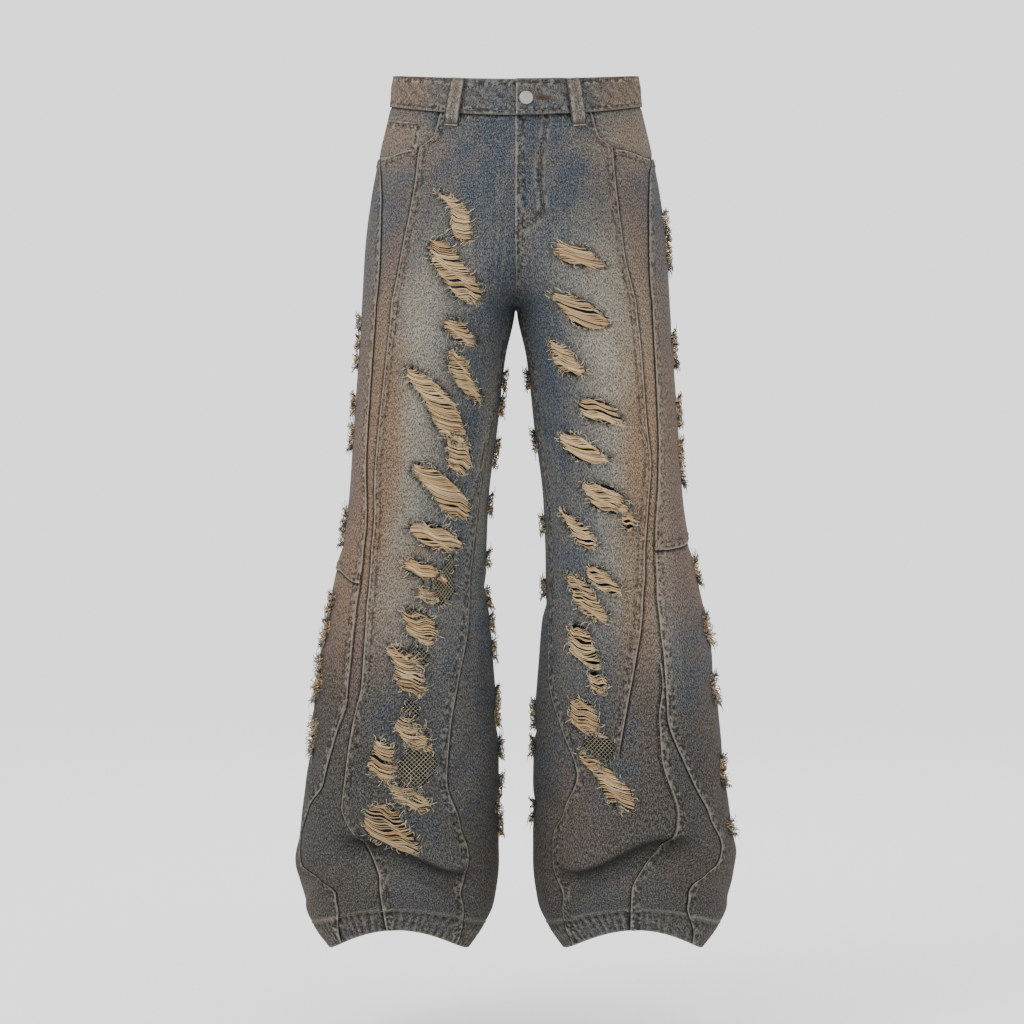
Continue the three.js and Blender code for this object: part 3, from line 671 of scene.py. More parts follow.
# tubes along many paths at once: a ring of sides round each point, square to the path, its first
# side the cross of the path's direction and a reference; points (n, m, 3), radius (n, m)
def tubes(paths, radius, sides, reference):
    n, m, _ = paths.shape
    tangent = np.gradient(paths, axis=1)
    tangent /= np.linalg.norm(tangent, axis=2, keepdims=True) + 1e-9
    first = np.cross(tangent, reference[:, None, :])
    first /= np.linalg.norm(first, axis=2, keepdims=True) + 1e-9
    second = np.cross(tangent, first)
    turn = (np.arange(sides) / sides * 2 * np.pi)[:, None]
    spokes = np.cos(turn) * first[:, :, None, :] + np.sin(turn) * second[:, :, None, :]
    ringPoints = paths[:, :, None, :] + radius[:, :, None, None] * spokes
    index = np.arange(n * m * sides).reshape(n, m, sides)
    beside = np.roll(index, -1, axis=2)
    walls = np.stack([index[:, :-1], index[:, 1:], beside[:, 1:], beside[:, :-1]], axis=-1)
    caps = np.concatenate([index[:, 0, :], index[:, -1, ::-1]])
    return ringPoints.reshape(-1, 3), walls.reshape(-1, 4)[:, ::-1].tolist() + caps.tolist()


# joins tube sets into one piece, with a colour for every tube or every point along it
def tubePiece(name, sets, material):
    points, faces, shades, start = [], [], [], 0
    for paths, radius, sides, reference, shade in sets:
        p, f = tubes(paths, radius, sides, reference)
        points.append(p)
        faces += [[k + start for k in face] for face in f]
        if shade.ndim == 2:
            shade = np.repeat(shade[:, None, :], paths.shape[1], axis=1)
        shades.append(np.repeat(shade.reshape(-1, 3), sides, axis=0))
        start += len(p)
    piece = makePiece(name, np.concatenate(points), faces, [material], {"shade": np.concatenate(shades)})
    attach(piece, "root")
    print(f"{name}: {len(faces)} faces")
    return piece


# adds a node with its settings and inputs: a socket is linked, a hex colour or a value is set
def addNode(tree, kind, inputs=None, out=0, **settings):
    node = tree.nodes.new(kind)
    for key, value in settings.items():
        setattr(node, key, value)
    for key, value in (inputs or {}).items():
        if isinstance(value, bpy.types.NodeSocket):
            tree.links.new(value, node.inputs[key])
        else:
            node.inputs[key].default_value = hexColour(value) if isinstance(value, str) else value
    return node.outputs[out]


# material with a principled shader, and the function that adds nodes to it
def newMaterial(name, **values):
    material = bpy.data.materials.new(name)
    material.use_nodes = True
    tree = material.node_tree
    shader = tree.nodes["Principled BSDF"]
    for key, value in values.items():
        shader.inputs[key.replace("_", " ")].default_value = value
    return material, tree, shader, functools.partial(addNode, tree)


denimLook = dict(indigo="2b3540", pale="7b766a", rust="6f5138", brown="665341", grime="2a2826",
                 worn="a19a8c", line="0b0c0e", wrongSide="6d7075", grainStrength=0.68, pitch=5.0)


# Stone-washed 3/1 twill denim, indigo warp over ecru weft, tinted brown and abraded: a dull,
# soft surface. The wash gives clouds, the abrasion pale flecks along a steep diagonal. Real twill
# lines lie 0.7 mm apart; the flecks are about 1.1 mm across and 3.3 mm long so that they show.
def denimMaterial(name, depth=1.0, inside=False):
    material, tree, shader, add = newMaterial(name, Roughness=0.88, Specular_IOR_Level=0.12)
    place = add("ShaderNodeTexCoord").node.outputs
    tones, marks = (add("ShaderNodeSeparateColor", {
        0: add("ShaderNodeAttribute", out="Color", attribute_name=key)}).node.outputs
        for key in ("tone", "seam"))
    turned = add("ShaderNodeMapping", {0: place["UV"], "Rotation": (0, 0, 0.66), "Scale": (88, 30, 1)})
    upright = add("ShaderNodeMapping", {0: place["UV"], "Scale": (19, 1.2, 1)})
    noises = dict(twill=(turned, 1.0, 2.0, 0.7), slub=(upright, 1.0, 3.0, 0.65),
                  fleck=(place["Object"], 860.0, 2.0, 0.75), cloud=(place["Object"], 34.0, 5.0, 0.62),
                  drift=(place["Object"], 9.0, 3.0, 0.55),
                  pit=(place["Object"], 1000 / denimLook["pitch"], 1.0, 0.5))
    noises = {key: add("ShaderNodeTexNoise", {"Vector": vector, "Scale": scale, "Detail": detail,
                                              "Roughness": rough})
              for key, (vector, scale, detail, rough) in noises.items()}
    centred = {key: add("ShaderNodeMath", {0: noises[key], 1: 0.5}, operation="SUBTRACT")
               for key in ("cloud", "drift", "slub")}

    # each wash is its amount and shares of the centred clouds, drifts and upright streaks
    washed = []
    for amount, cloudy, streaky, most in zip(tones, (0.5, 0.6, 0.8), (1.0, -0.9, 0.8), (1.0, 0.85, 0.85)):
        for key, share, clamp in (("cloud", cloudy, False), ("drift", cloudy, True),
                                  ("slub", streaky, True)):
            amount = add("ShaderNodeMath", {0: centred[key], 1: share, 2: amount},
                         operation="MULTIPLY_ADD", use_clamp=clamp)
        washed.append(add("ShaderNodeMath", {0: amount, 1: most}, operation="MULTIPLY"))

    # grain is a mixture of twill and fleck; its high part is worn warp, its low part shadow
    grain = add("ShaderNodeMath", {0: noises["twill"], 1: 0.55, 2: add(
        "ShaderNodeMath", {0: noises["fleck"], 1: 0.45}, operation="MULTIPLY")}, operation="MULTIPLY_ADD")
    light, dark, ridge = (add("ShaderNodeMapRange", {0: value, 1: low, 2: high, 3: start, 4: stop})
                          for value, low, high, start, stop in (
                              (grain, 0.49, 0.585, 0.0, denimLook["grainStrength"]),
                              (grain, 0.51, 0.41, 0.0, 0.8), (noises["pit"], 0.38, 0.62, -1.0, 1.0)))
    # stitch puckers: uneven pits a stitch or two apart, where the seam attribute has them; the pits get
    # painted shade, the ridges between them pale wear
    ridge = add("ShaderNodeMath", {0: ridge, 1: marks[2]}, operation="MULTIPLY")
    high, low = (add("ShaderNodeMath", {0: ridge, 1: share}, operation="MULTIPLY", use_clamp=True)
                 for share in (0.42, -0.75))
    speckle = add("ShaderNodeMath", {0: noises["fleck"], 1: 0.7, 2: 0.45}, operation="MULTIPLY_ADD")
    pale = add("ShaderNodeMath", {0: marks[0], 1: speckle}, operation="MULTIPLY", use_clamp=True)
    pale = add("ShaderNodeMath", {0: pale, 1: 0.7}, operation="MULTIPLY")
    # dark lines and painted shade from the seam attribute: seam lines with some dirt, painted shade in
    # grooves and needle pits, painted shadow under the break and round the rips
    darkLinesAndPaintedShade = add("ShaderNodeMath", {0: marks[1], 1: 0.85}, operation="MULTIPLY", use_clamp=True)

    # the colour is laid in coats, each mixed over the last by its amount
    earth = add("ShaderNodeMix", {0: noises["drift"], 6: denimLook["rust"], 7: denimLook["brown"]}, 2,
                data_type="RGBA")
    coats = [(washed[0], denimLook["pale"]), (washed[1], earth), (washed[2], denimLook["grime"]),
             (light, "lit"), (dark, denimLook["line"]), (pale, denimLook["worn"]),
             (high, denimLook["worn"]), (low, denimLook["line"]), (darkLinesAndPaintedShade, denimLook["line"])]
    coats += [(0.45, denimLook["wrongSide"])] if inside else []
    colour = denimLook["indigo"]
    for amount, coat in coats:
        if coat == "lit":  # worn warp: the colour beneath made brighter, with a share of worn white
            bright = add("ShaderNodeVectorMath", {0: colour, "Scale": 2.2}, operation="SCALE")
            coat = add("ShaderNodeMix", {0: 0.26, 6: bright, 7: denimLook["worn"]}, 2, data_type="RGBA")
        colour = add("ShaderNodeMix", {0: amount, 6: colour, 7: coat}, 2, data_type="RGBA")
    tree.links.new(colour, shader.inputs["Base Color"])
    relief = add("ShaderNodeMath", {0: ridge, 1: 0.6, 2: grain}, operation="MULTIPLY_ADD")
    bump = add("ShaderNodeBump", {"Strength": 0.55 * depth, "Distance": 0.0008, "Height": relief})
    tree.links.new(bump, shader.inputs["Normal"])
    return material


# Plain cotton or polyester yarn, dull and soft. Its colour comes tube by tube from the mesh, times
# a fine noise that stands for its twist, drawn as coarse as it needs to show.
def yarnMaterial(name, roughness, grainScale, amount):
    material, tree, shader, add = newMaterial(name, Roughness=roughness, Specular_IOR_Level=0.15)
    noise = add("ShaderNodeTexNoise", {"Vector": add("ShaderNodeTexCoord", out="Object"),
                                       "Scale": grainScale, "Detail": 2.0})
    level = add("ShaderNodeMapRange", {0: noise, 1: 0.3, 2: 0.7, 3: 1 - amount, 4: 1 + amount * 0.5})
    shade = add("ShaderNodeAttribute", out="Color", attribute_name="shade")
    tinted = add("ShaderNodeVectorMath", {0: shade, "Scale": level}, operation="SCALE")
    bump = add("ShaderNodeBump", {"Strength": 0.4, "Distance": 0.0003, "Height": noise})
    tree.links.new(tinted, shader.inputs["Base Color"])
    tree.links.new(bump, shader.inputs["Normal"])
    return material


denim = denimMaterial("washedTwillDenim")
denimInside = denimMaterial("twillDenimWrongSide", 0.7, True)
denimSet = [denim, denimInside, denimInside]
cottonWeft = yarnMaterial("ecruWeftYarn", 0.85, 700, 0.22)
fringeYarn = yarnMaterial("brokenWarpYarn", 0.9, 900, 0.3)
stitchThread = yarnMaterial("coreSpunTopstitchThread", 0.6, 1200, 0.2)
netYarn = yarnMaterial("warpKnitNetYarn", 0.7, 1200, 0.2)
print("materials made")


# the left leg's tuck, carried on nearly upright below its end
def leftTuckLine(height):
    return np.where(height < -818, -97.5 - 0.02 * (-818 - height), along(seams["leftTuck"], 1, height))


# the left front's outer border: the pocket mouth, then the tuck
def leftMouthLine(height):
    return np.where(height > -62, along(seams["leftMouth"], 1, height), leftTuckLine(height))


# the border of the left strip: the side seam, then the gore's seam
def leftOuterLine(height):
    return np.where(height > gore, along(seams["leftSide"], 1, height), along(seams["leftGore"], 1, height))


# the tuck fades out over the last of its length
def tuckStrength(height):
    return ease(-832, -806, height)


rightFront, rightSide = seamLine("rightFront"), seamLine("rightSide")
leftSide, leftGore = seamLine("leftSide"), seamLine("leftGore")
innerFront = {"right": seamLine("rightInner", -1), "left": seamLine("leftInner", -1)}
sideSeam = {"right": rightSide, "left": leftSide}
mouthSeam = {"right": rightFront, "left": leftMouthLine}
backSide, backInner = seamLine("backSide"), seamLine("backInner", 1)
# the knee seams: a level with an eased step across the side
kneeSeam = {"right": lambda angle: -597 - 15 * ease(-19, -51, angle),
            "left": lambda angle: -571 + 12 * ease(-61, 13, angle)}

print("cutting the panels")
frontStyles, stripStyles = ("over", "over", "band", "free"), ("under", "under", "mouth", "free")
clothPiece("denim_front_right", [
    panelGrid("right", innerFront["right"], rightFront, bandFoot, hem, frontStyles,
              (lambda h: ease(-262, -285, h), None, None, None))], "front_panel_right", hasRips=True)
clothPiece("denim_strip_right", [
    panelGrid("right", rightFront, rightSide, pocketLevel, hem, stripStyles)],
    "front_strip_right", hasRips=True)
clothPiece("denim_front_left", [
    flyMarks(panelGrid("left", innerFront["left"], leftMouthLine, bandFoot, hem, frontStyles,
                       (None, tuckStrength, None, None))),
    panelGrid("left", leftTuckLine, leftOuterLine, pocketLevel, hem, stripStyles,
              (tuckStrength, None, None, None))], "front_panel_left", hasRips=True)
clothPiece("denim_gore_left", [
    panelGrid("left", leftGore, leftSide, gore, hem, ("over", "under", "free", "free"))],
    "front_gore_left", hasRips=True)
for leg in ("right", "left"):
    # borders, top, foot and edge styles of the leg's other panels, and whether rips cross them
    for name, node, left, right, top, foot, styles, torn in (
            ("denim_side_upper", "side_upper", sideSeam[leg], backSide, pocketLevel, kneeSeam[leg],
             ("over", "under", "mouth", "over"), True),
            ("denim_side_lower", "side_lower", sideSeam[leg], backSide, kneeSeam[leg], hem,
             ("over", "under", "under", "free"), True),
            ("pocket_facing_cloth", "pocket_facing", mouthSeam[leg], asLine(8.0), bandFoot, pocketLevel,
             ("behind", "under", "band", "behind"), False),
            ("denim_yoke", "back_yoke", asLine(8.0), backInner, bandFoot, yokeSeam,
             ("over", "over", "band", "over"), False),
            ("denim_back", "back_panel", backSide, backInner, yokeSeam, hem,
             ("over", "over", "under", "free"), True),
            ("denim_inner", "inner_leg", innerFront[leg], lambda h: backInner(h) - 360,
             body["crotch"] + 1.0, hem, ("under", "under", "free", "free"), True)):
        clothPiece(f"{name}_{leg}", [panelGrid(leg, left, right, top, foot, styles)], f"{node}_{leg}",
                   hasRips=torn)
print("panels done")

weftLook = dict(spacing=1.42, radius=0.70, points=12, sides=4, bunch=0.42, missing=0.07, cream="b99f79",
                light="d4bf98", tan="8a6a49", stain="b5763f")


# paths of the bare weft threads across one rip. A thread runs from beyond one border to beyond the
# other: its height is its level less slope and sag, plus two sines; its lift is a flat arch
def ripThreads(rip, leg):
    a0, h0, a1, h1, width, sag, puff = rip
    depth = h0 - h1
    n = max(int(depth / weftLook["spacing"]), 4)
    v = (np.arange(n) + 0.5 + random.uniform(-0.3, 0.3, n)) / n
    bunched = weftLook["bunch"] / n * np.sin(2 * np.pi * n * v / 5.2 + random.uniform(0, 6))
    v = np.clip(v + bunched, 0.01, 0.99)
    v = v[random.uniform(size=n) > weftLook["missing"]]
    n = len(v)
    x = np.linspace(-1, 1, weftLook["points"])[None, :]
    centre, level = ripCentre(rip, v), h0 - depth * v
    perDegree = degreeLength(centre, level)
    run = (a1 - a0) * perDegree.mean() / max(depth, 1)
    slope = np.clip(0.24 / max(abs(run), 0.5), 0, 0.3) * np.sign(run)
    reach = ripHalf(rip, v) / (1 - min(abs(run * slope), 0.5)) + 4.2
    phase = (np.cumsum(random.normal(0, 0.42, n)) + random.uniform(0, 6))[:, None]
    away = reach[:, None] * x
    droop = (1 - np.abs(x) ** 1.6) * (sag * random.uniform(0.35, 1.15, n))[:, None]
    wave = 1.5 * np.sin(x * (2.9 + 0.05 * width) + phase) + 0.7 * np.sin(x * 8.3 + 1.7 * phase)
    angle = centre[:, None] + away / perDegree[:, None]
    height = level[:, None] - slope * away - droop + wave
    out = -1.5 + (1 - x ** 4) * (1.7 + puff * random.uniform(0.0, 1.0, n)[:, None] * (1 - x * x))
    lift = out + 0.35 * np.sin(x * 5.1 + phase * 3)
    paths = clothPoint(angle, height, leg, lift)
    reference = paths[:, 0] - clothPoint(angle[:, 0], height[:, 0], leg, lift[:, 0] - 1)
    radius = np.broadcast_to(weftLook["radius"] * random.uniform(0.75, 1.15, (n, 1)), (n, x.shape[1]))
    # ecru between cream and light or tan, stained where the cloth is rusty, darker where grimy
    mix = random.uniform(size=(n, 1)) ** 1.3
    cream, light, tan, stain = tints(weftLook, "cream", "light", "tan", "stain")
    shade = np.where(random.uniform(size=(n, 1)) < 0.3, cream + (light - cream) * mix,
                     cream + (tan - cream) * mix * 0.8)
    _, rusty, grimy = np.split(washTone(centre, level, leg), 3, axis=1)
    shade = (shade * (1 - 0.28 * rusty) + 0.28 * rusty * stain) * (1 - 0.30 * grimy)
    return paths, radius, weftLook["sides"], reference, shade


frayLook = dict(spacing=1.2, radius=0.62, sides=3, points=5, dark="23282f", mid="616b6e", pale="b8aa8d")


# paths of the broken warp ends round one rip: each leaves the border square to it, turning at an
# even random rate, and its lift is a part of a sine; those on the side rips are longer and higher
def ripFringe(rip, leg):
    a0, h0, a1, h1, width = rip[:5]
    puff = rip[6] if len(rip) > 6 else 0.5
    tufted = puff > 3
    depth = h0 - h1
    outline = np.hypot(depth, abs(a1 - a0) * 1.9) + width * 0.5
    n = int(outline / frayLook["spacing"] * (1.25 if tufted else 1.0 if len(rip) > 6 else 0.6))
    run = (a1 - a0) * float(degreeLength((a0 + a1) / 2, (h0 + h1) / 2)) / depth
    dark, mid, pale = tints(frayLook, "dark", "mid", "pale")
    t = np.linspace(0, 1, frayLook["points"])[None, :]
    sets = []
    for side in (-1, 1):
        # places on the outline by the angle theta round it, and the way that faces out of it
        theta = np.pi * ((np.arange(n) + random.uniform(0, 1, n)) / n - 0.5) + (np.pi if side < 0 else 0)
        v = 0.5 - 0.5 * np.sign(np.sin(theta)) * np.abs(np.sin(theta)) ** 0.8
        centre, level = ripCentre(rip, v), h0 - depth * v
        outX = -np.sin(theta) * width / 2 - np.cos(theta) * run * depth / 2
        facing = np.arctan2(-outX, np.cos(theta) * depth / 2)
        root = np.sign(np.cos(theta)) * np.maximum(ripHalf(rip, np.clip(v, 0.01, 0.99)) - 0.8, 0)
        length = random.uniform(4.5, 11.0, n) * (1.3 if tufted else 1.0)
        length = (length * np.where(random.uniform(size=n) < 0.12, 1.6, 1))[:, None]
        turn = (facing + random.normal(0.0, 0.5, n))[:, None] + random.normal(0, 1.9, n)[:, None] * t
        stepX = np.cumsum(np.cos(turn), axis=1) / t.shape[1] - 0.25 * np.cos(facing)[:, None]
        stepY = np.cumsum(np.sin(turn), axis=1) / t.shape[1] - 0.25 * np.sin(facing)[:, None]
        perDegree = degreeLength(centre, level)[:, None]
        angle = centre[:, None] + (root[:, None] + stepX * length) / perDegree
        height = level[:, None] + stepY * length
        rise = random.uniform(0.8, 3.2, n) + (random.uniform(0, 7.5, n) if tufted else 0)
        lift = 0.3 + rise[:, None] * np.sin(t * 2.2) * (0.7 + 0.3 * t)
        paths = clothPoint(angle, height, leg, lift)
        reference = clothPoint(angle[:, 0], height[:, 0], leg, lift[:, 0] + 1) - paths[:, 0]
        radius = frayLook["radius"] * random.uniform(0.7, 1.2, (n, 1)) * (1 - 0.4 * t)
        pick = random.uniform(size=(n, 1))
        base = np.where(pick < 0.52, dark, np.where(pick < 0.82, mid, pale))
        tip = (t ** 2)[:, :, None] * 0.35
        shade = base[:, None, :] * (1 - tip) + pale * tip
        sets.append((paths, radius, frayLook["sides"], reference, shade))
    return sets


for leg in ("right", "left"):
    tubePiece(f"weft_threads_{leg}", [ripThreads(rip, leg) for rip in rips[leg]], cottonWeft)
    tubePiece(f"frayed_ends_{leg}", [item for hole in rips[leg] + openNet[leg]
                                     for item in ripFringe(hole, leg)], fringeYarn)

netLook = dict(pitch=3.8, slant=1.42, radius=0.58, points=28, sides=3, lift=-2.7, colour="857f6b")


# the net: two families of yarns that cross on the slant behind the open windows, each a straight
# line with a small zigzag at the net's pitch, one family over the other by turns
def netPiece(name, node, leg, angles, heights):
    lowAngle, highAngle = angles
    top, foot = heights
    middle, level, pitch = (lowAngle + highAngle) / 2, (top + foot) / 2, netLook["pitch"]
    perDegree = float(degreeLength(middle, level))
    width, depth = (highAngle - lowAngle) * perDegree, top - foot
    sets = []
    for lean in (-1, 1):
        starts = np.arange(-depth, width, pitch * netLook["slant"])
        t = np.linspace(0, 1, netLook["points"])[None, :]
        x = starts[:, None] + t * depth
        inside = np.clip(x, 0, width)
        fall = t * depth + (inside - x)
        keep = np.ptp(inside, axis=1) > 4
        inside, fall = inside[keep], np.clip(fall[keep], 0, depth)
        if lean < 0:
            inside = width - inside
        angle = lowAngle + (inside + 0.3 * np.sin(fall * 2 * np.pi / pitch)) / perDegree
        lift = netLook["lift"] + 0.25 * lean * np.cos(fall * np.pi / pitch)
        paths = clothPoint(angle, top - fall, leg, lift)
        # points piled up where a yarn meets the net's border are spread evenly along it
        gap = np.linalg.norm(np.diff(paths, axis=1), axis=2)
        gone = np.concatenate([np.zeros((len(paths), 1)), np.cumsum(gap, axis=1)], axis=1)
        paths = np.stack([np.stack([np.interp(row[-1] * t[0], row, line[:, k]) for k in range(3)], axis=1)
                          for row, line in zip(gone, paths)])
        out = clothPoint(middle, level, leg, 1) - clothPoint(middle, level, leg, 0)
        shade = next(tints(netLook, "colour")) * random.uniform(0.7, 1.1, (len(paths), 1))
        sets.append((paths, np.full(paths.shape[:2], netLook["radius"]), netLook["sides"],
                     np.broadcast_to(out, (len(paths), 3)), shade))
    net = tubePiece(name, sets, netYarn)
    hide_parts(node)


netPiece("net_backing_right", "mesh_backing_right", "right", (-128, -80), (-565, -884))
netPiece("net_backing_left", "mesh_backing_left", "left", (-128, -92), (-780, -850))
print("rips dressed")


# waist place at a turn from the front centre, positive to the wearer's left: the leg's own
# surface at the turn's size less a quarter round
def waistPoint(turn, height, lift):
    turn = (np.asarray(turn, float) + 180) % 360 - 180
    spots = [clothPoint(np.abs(turn) - 90, height, leg, lift) for leg in ("right", "left")]
    return np.where((turn < 0)[..., None], spots[0], spots[1])


# washes of the waistband: worn from the hips back, a little less behind
def waistTone(grid):
    turn = np.abs((grid["angle"] + 180) % 360 - 180)
    worn = ease(32, 55, turn) * (1 - 0.35 * ease(120, 160, turn))
    return np.stack([0.12 + 0.1 * worn, 0.55 * worn + 0.14, 0.2 + 0 * turn], axis=-1)


# one grid from its places, lift and marks, all spread to the same shape
def flatGrid(leg="right", **values):
    shape = np.broadcast_shapes(*(np.shape(item) for item in values.values()))
    return dict(leg=leg, **{key: np.broadcast_to(np.asarray(item, float), shape).copy()
                            for key, item in values.items()})


# the waistband: it laps over itself in front, its height dips at the hips by a squared sine, and
# soft sines crumple it between its two stitched rows
band = dict(lap=3.6, wall=2.6, upperRow=27.8, lowerRow=-5.6, hipDip=4.5, lift=0.9)
turns = np.concatenate([[0, 0.4, 0.9, 1.6], np.arange(2.6, 377.1, 1.9)])[None, :]
levels = np.array([33, 32.2, 31, 29.6, 28, 26, 23, 19, 15, 11, 7, 3, -0.5, -3.2, -5.2, -6.8, -8.2, -9.6,
                   -10.4])[:, None]
crumple = 0.7 * np.sin(turns * 0.9 + levels * 0.33) * np.sin(turns * 0.37) * bell(levels - 11, 9)
pucker = 0.8 * (bell(levels - 27.5, 3.4) + bell(levels + 5, 3.4)) + 0.1 * bell(levels - 11, 9)
levels = levels - band["hipDip"] * np.sin(np.radians(turns)) ** 2 * ease(0, 33, levels)
overRow, underRow = levels - band["upperRow"], levels - band["lowerRow"]
swell = (0.7 * np.sin(turns * 0.31) + 0.6 * np.sin(turns * 0.83 + levels * 0.22)) * bell(levels - 12, 11)
lift = (band["lap"] * (1 - ease(18.5, 26, turns)) + band["lift"] + 0.6 * crumple + swell
        - 0.9 * bell(levels - 34, 1.6) - 0.35 * bell(overRow, 1.2) - 0.35 * bell(underRow, 1.2)
        - 0.5 * bell(levels + 11, 1.6))
pale = (0.6 * bell(levels - 33, 1.2) + 0.4 * bell(levels + 9.4, 1.0) + 0.8 * bell(turns, 0.5)
        + 0.4 * np.maximum(crumple, 0))
# dark marks: painted shade in the groove at the band's foot and beside its two stitched rows, and darker in
# the crumples' troughs
dark = (0.9 * bell(levels + 11.0, 1.5) + 0.35 * bell(underRow, 1.4) + 0.3 * bell(overRow, 1.3)
        + 0.6 * np.maximum(-crumple, 0))
clothPiece("waistband_cloth", [flatGrid(angle=turns, height=levels, lift=lift, pale=pale, dark=dark,
                                        pucker=pucker)],
           "waistband", wall=band["wall"], pointAt=waistPoint, tone=waistTone)

# belt loops: strips that arch off the band by a power of a sine, their foot pressed flat; each
# name has the turns of its top and foot
loopLook = dict(halfTurn=3.5, top=31.5, foot=-26.5, wall=1.7, lift=4.1, arch=2.6, fade=0.4, rust=0.26,
                grime=0.3)
loops = {"front_left": (26.5, 28.5), "front_right": (-27, -29.5), "back_left": (128, 128),
         "back_right": (-128, -128), "back_centre": (180, 180)}
t = np.concatenate([[0, 0.015, 0.04], np.linspace(0.08, 0.92, 16), [0.955, 0.98, 1.0]])[:, None]
u = np.array([-1, -0.88, -0.72, -0.5, -0.25, 0, 0.25, 0.5, 0.72, 0.88, 1.0])[None, :]
side = np.abs(u)
arch = loopLook["arch"] * np.sin(np.pi * np.minimum(t / 0.87, 1)) ** 0.6 - 1.6 * ease(0.86, 0.9, t)
lift = (loopLook["lift"] + arch - 0.5 * side ** 6 - 0.4 * bell(t, 0.02)
        + 0.25 * np.cos(t * 60) * bell(side - 0.7, 0.25))
pale = 0.5 * bell(side - 0.62, 0.14) + 0.7 * bell(t - 1, 0.03) + 0.5 * bell(t, 0.02)
dark = 0.9 * bell(side - 1, 0.10) + 0.55 * bell(side - 0.83, 0.07) + 0.7 * bell(t - 0.93, 0.02)


# the belt loops' washes are the same all over
def loopTone(grid):
    return np.zeros((*grid["lift"].shape, 3)) + [loopLook["fade"], loopLook["rust"], loopLook["grime"]]


for name, (topTurn, footTurn) in loops.items():
    grid = flatGrid(angle=topTurn + (footTurn - topTurn) * t + u * loopLook["halfTurn"],
                    height=loopLook["top"] + (loopLook["foot"] - loopLook["top"]) * t,
                    lift=lift, pale=pale, dark=dark, pucker=0.7 * bell(side - 0.7, 0.2))
    clothPiece(f"belt_loop_cloth_{name}", [grid], f"belt_loop_{name}", wall=loopLook["wall"],
               pointAt=waistPoint, tone=loopTone)


# a patch laid on a leg: u runs from its left line to its right, v from its top line to its foot;
# it stands off by a height less a bell at its edge, with puckers beside the stitching
def patchPiece(name, node, leg, left, right, top, foot, lift, wall, rows, cols):
    left, right, top, foot = map(asLine, (left, right, top, foot))
    first, last = [0, 0.02, 0.05, 0.09], [0.91, 0.95, 0.98, 1]
    u = np.concatenate([first, np.linspace(0.14, 0.86, cols), last])[None, :]
    v = np.concatenate([first, [0.13], np.linspace(0.2, 0.86, rows), last])[:, None]
    height = top(u) + (foot(u) - top(u)) * v
    angle = left(height) + (right(height) - left(height)) * u
    width = float(np.abs(angle[0, -1] - angle[0, 0]) * degreeLength(angle[0, 0], height[0, 0]))
    depth = float(height[0, 0] - height[-1, 0])
    across, down = np.minimum(u, 1 - u) * width, np.minimum(v, 1 - v) * depth
    edge = np.minimum(across, down)
    atSides, atTop = bell(across - 4, 3), bell(v * depth - 5, 5)
    wave = np.sin(height * 0.5) * atSides + np.sin(angle * 0.9) * atTop
    grid = flatGrid(leg, angle=angle, height=height, lift=lift - 0.5 * bell(edge, 1.2) + 0.3 * wave,
                    pale=bell(edge - 0.6, 1.5), dark=0.7 * bell(edge - 2.6, 1.1), pucker=atSides + atTop)
    clothPiece(name, [grid], node, wall=wall)


# the fly facing's border: a straight line 34 mm from the centre that curves in at its foot
def flyEdge(height):
    cx, rx, _, _ = ring(height)
    x = 34 * (1 - 0.75 * ease(-140, -176, height))
    return -np.degrees(np.arccos(np.clip((x - cx) / rx, -1, 1)))


pocketLook = dict(left=36.0, right=76.0, top=-108.0, corner=-216, point=26, lift=2.4)
for leg in ("right", "left"):
    patchPiece(f"back_pocket_cloth_{leg}", f"back_pocket_{leg}", leg, pocketLook["left"],
               pocketLook["right"], pocketLook["top"],
               lambda u: pocketLook["corner"] - pocketLook["point"] * (1 - np.abs(2 * u - 1)),
               pocketLook["lift"], 1.5, 24, 18)
patchPiece("coin_pocket_cloth", "coin_pocket", "right", -7.0, -44.0, -27.0,
           lambda u: -77 + 14 * u ** 3, 0.4, 1.2, 9, 16)
patchPiece("fly_facing_cloth", "fly_facing", "left", lambda h: innerFront["left"](h) + 0.4, flyEdge,
           -10.0, -172.0, -3.9, body["wall"], 20, 6)

# the hem folds up inside: a ring whose foot curves out to meet the cloth's edge
turnup = dict(inset=-3.4, flare=2.1, short=0.6)
around = np.linspace(-180, 180, 181)[None, :]
v = np.array([0, 0.12, 0.3, 0.5, 0.7, 0.86, 0.95, 1.0])[:, None]
for leg in ("right", "left"):
    grid = flatGrid(leg, angle=around,
                    height=body["hemStitch"] + (hem - turnup["short"] - body["hemStitch"]) * v,
                    lift=turnup["inset"] + turnup["flare"] * ease(0.8, 1.0, v),
                    pale=0.4 * bell(v - 1, .1), dark=0.6 * bell(v, 0.06), pucker=0.0)
    clothPiece(f"hem_turnup_cloth_{leg}", [grid], f"hem_turnup_{leg}", [denimInside] * 3)
print("small cloth pieces done")

threadLook = dict(pitch=3.9, length=3.0, radius=0.43, sides=3, brown="453c33", light="8a7c69")
seamLift, foldLift, patchLift, bandLift = 1.95, 1.75, 3.35, 2.35
stitchSets = []


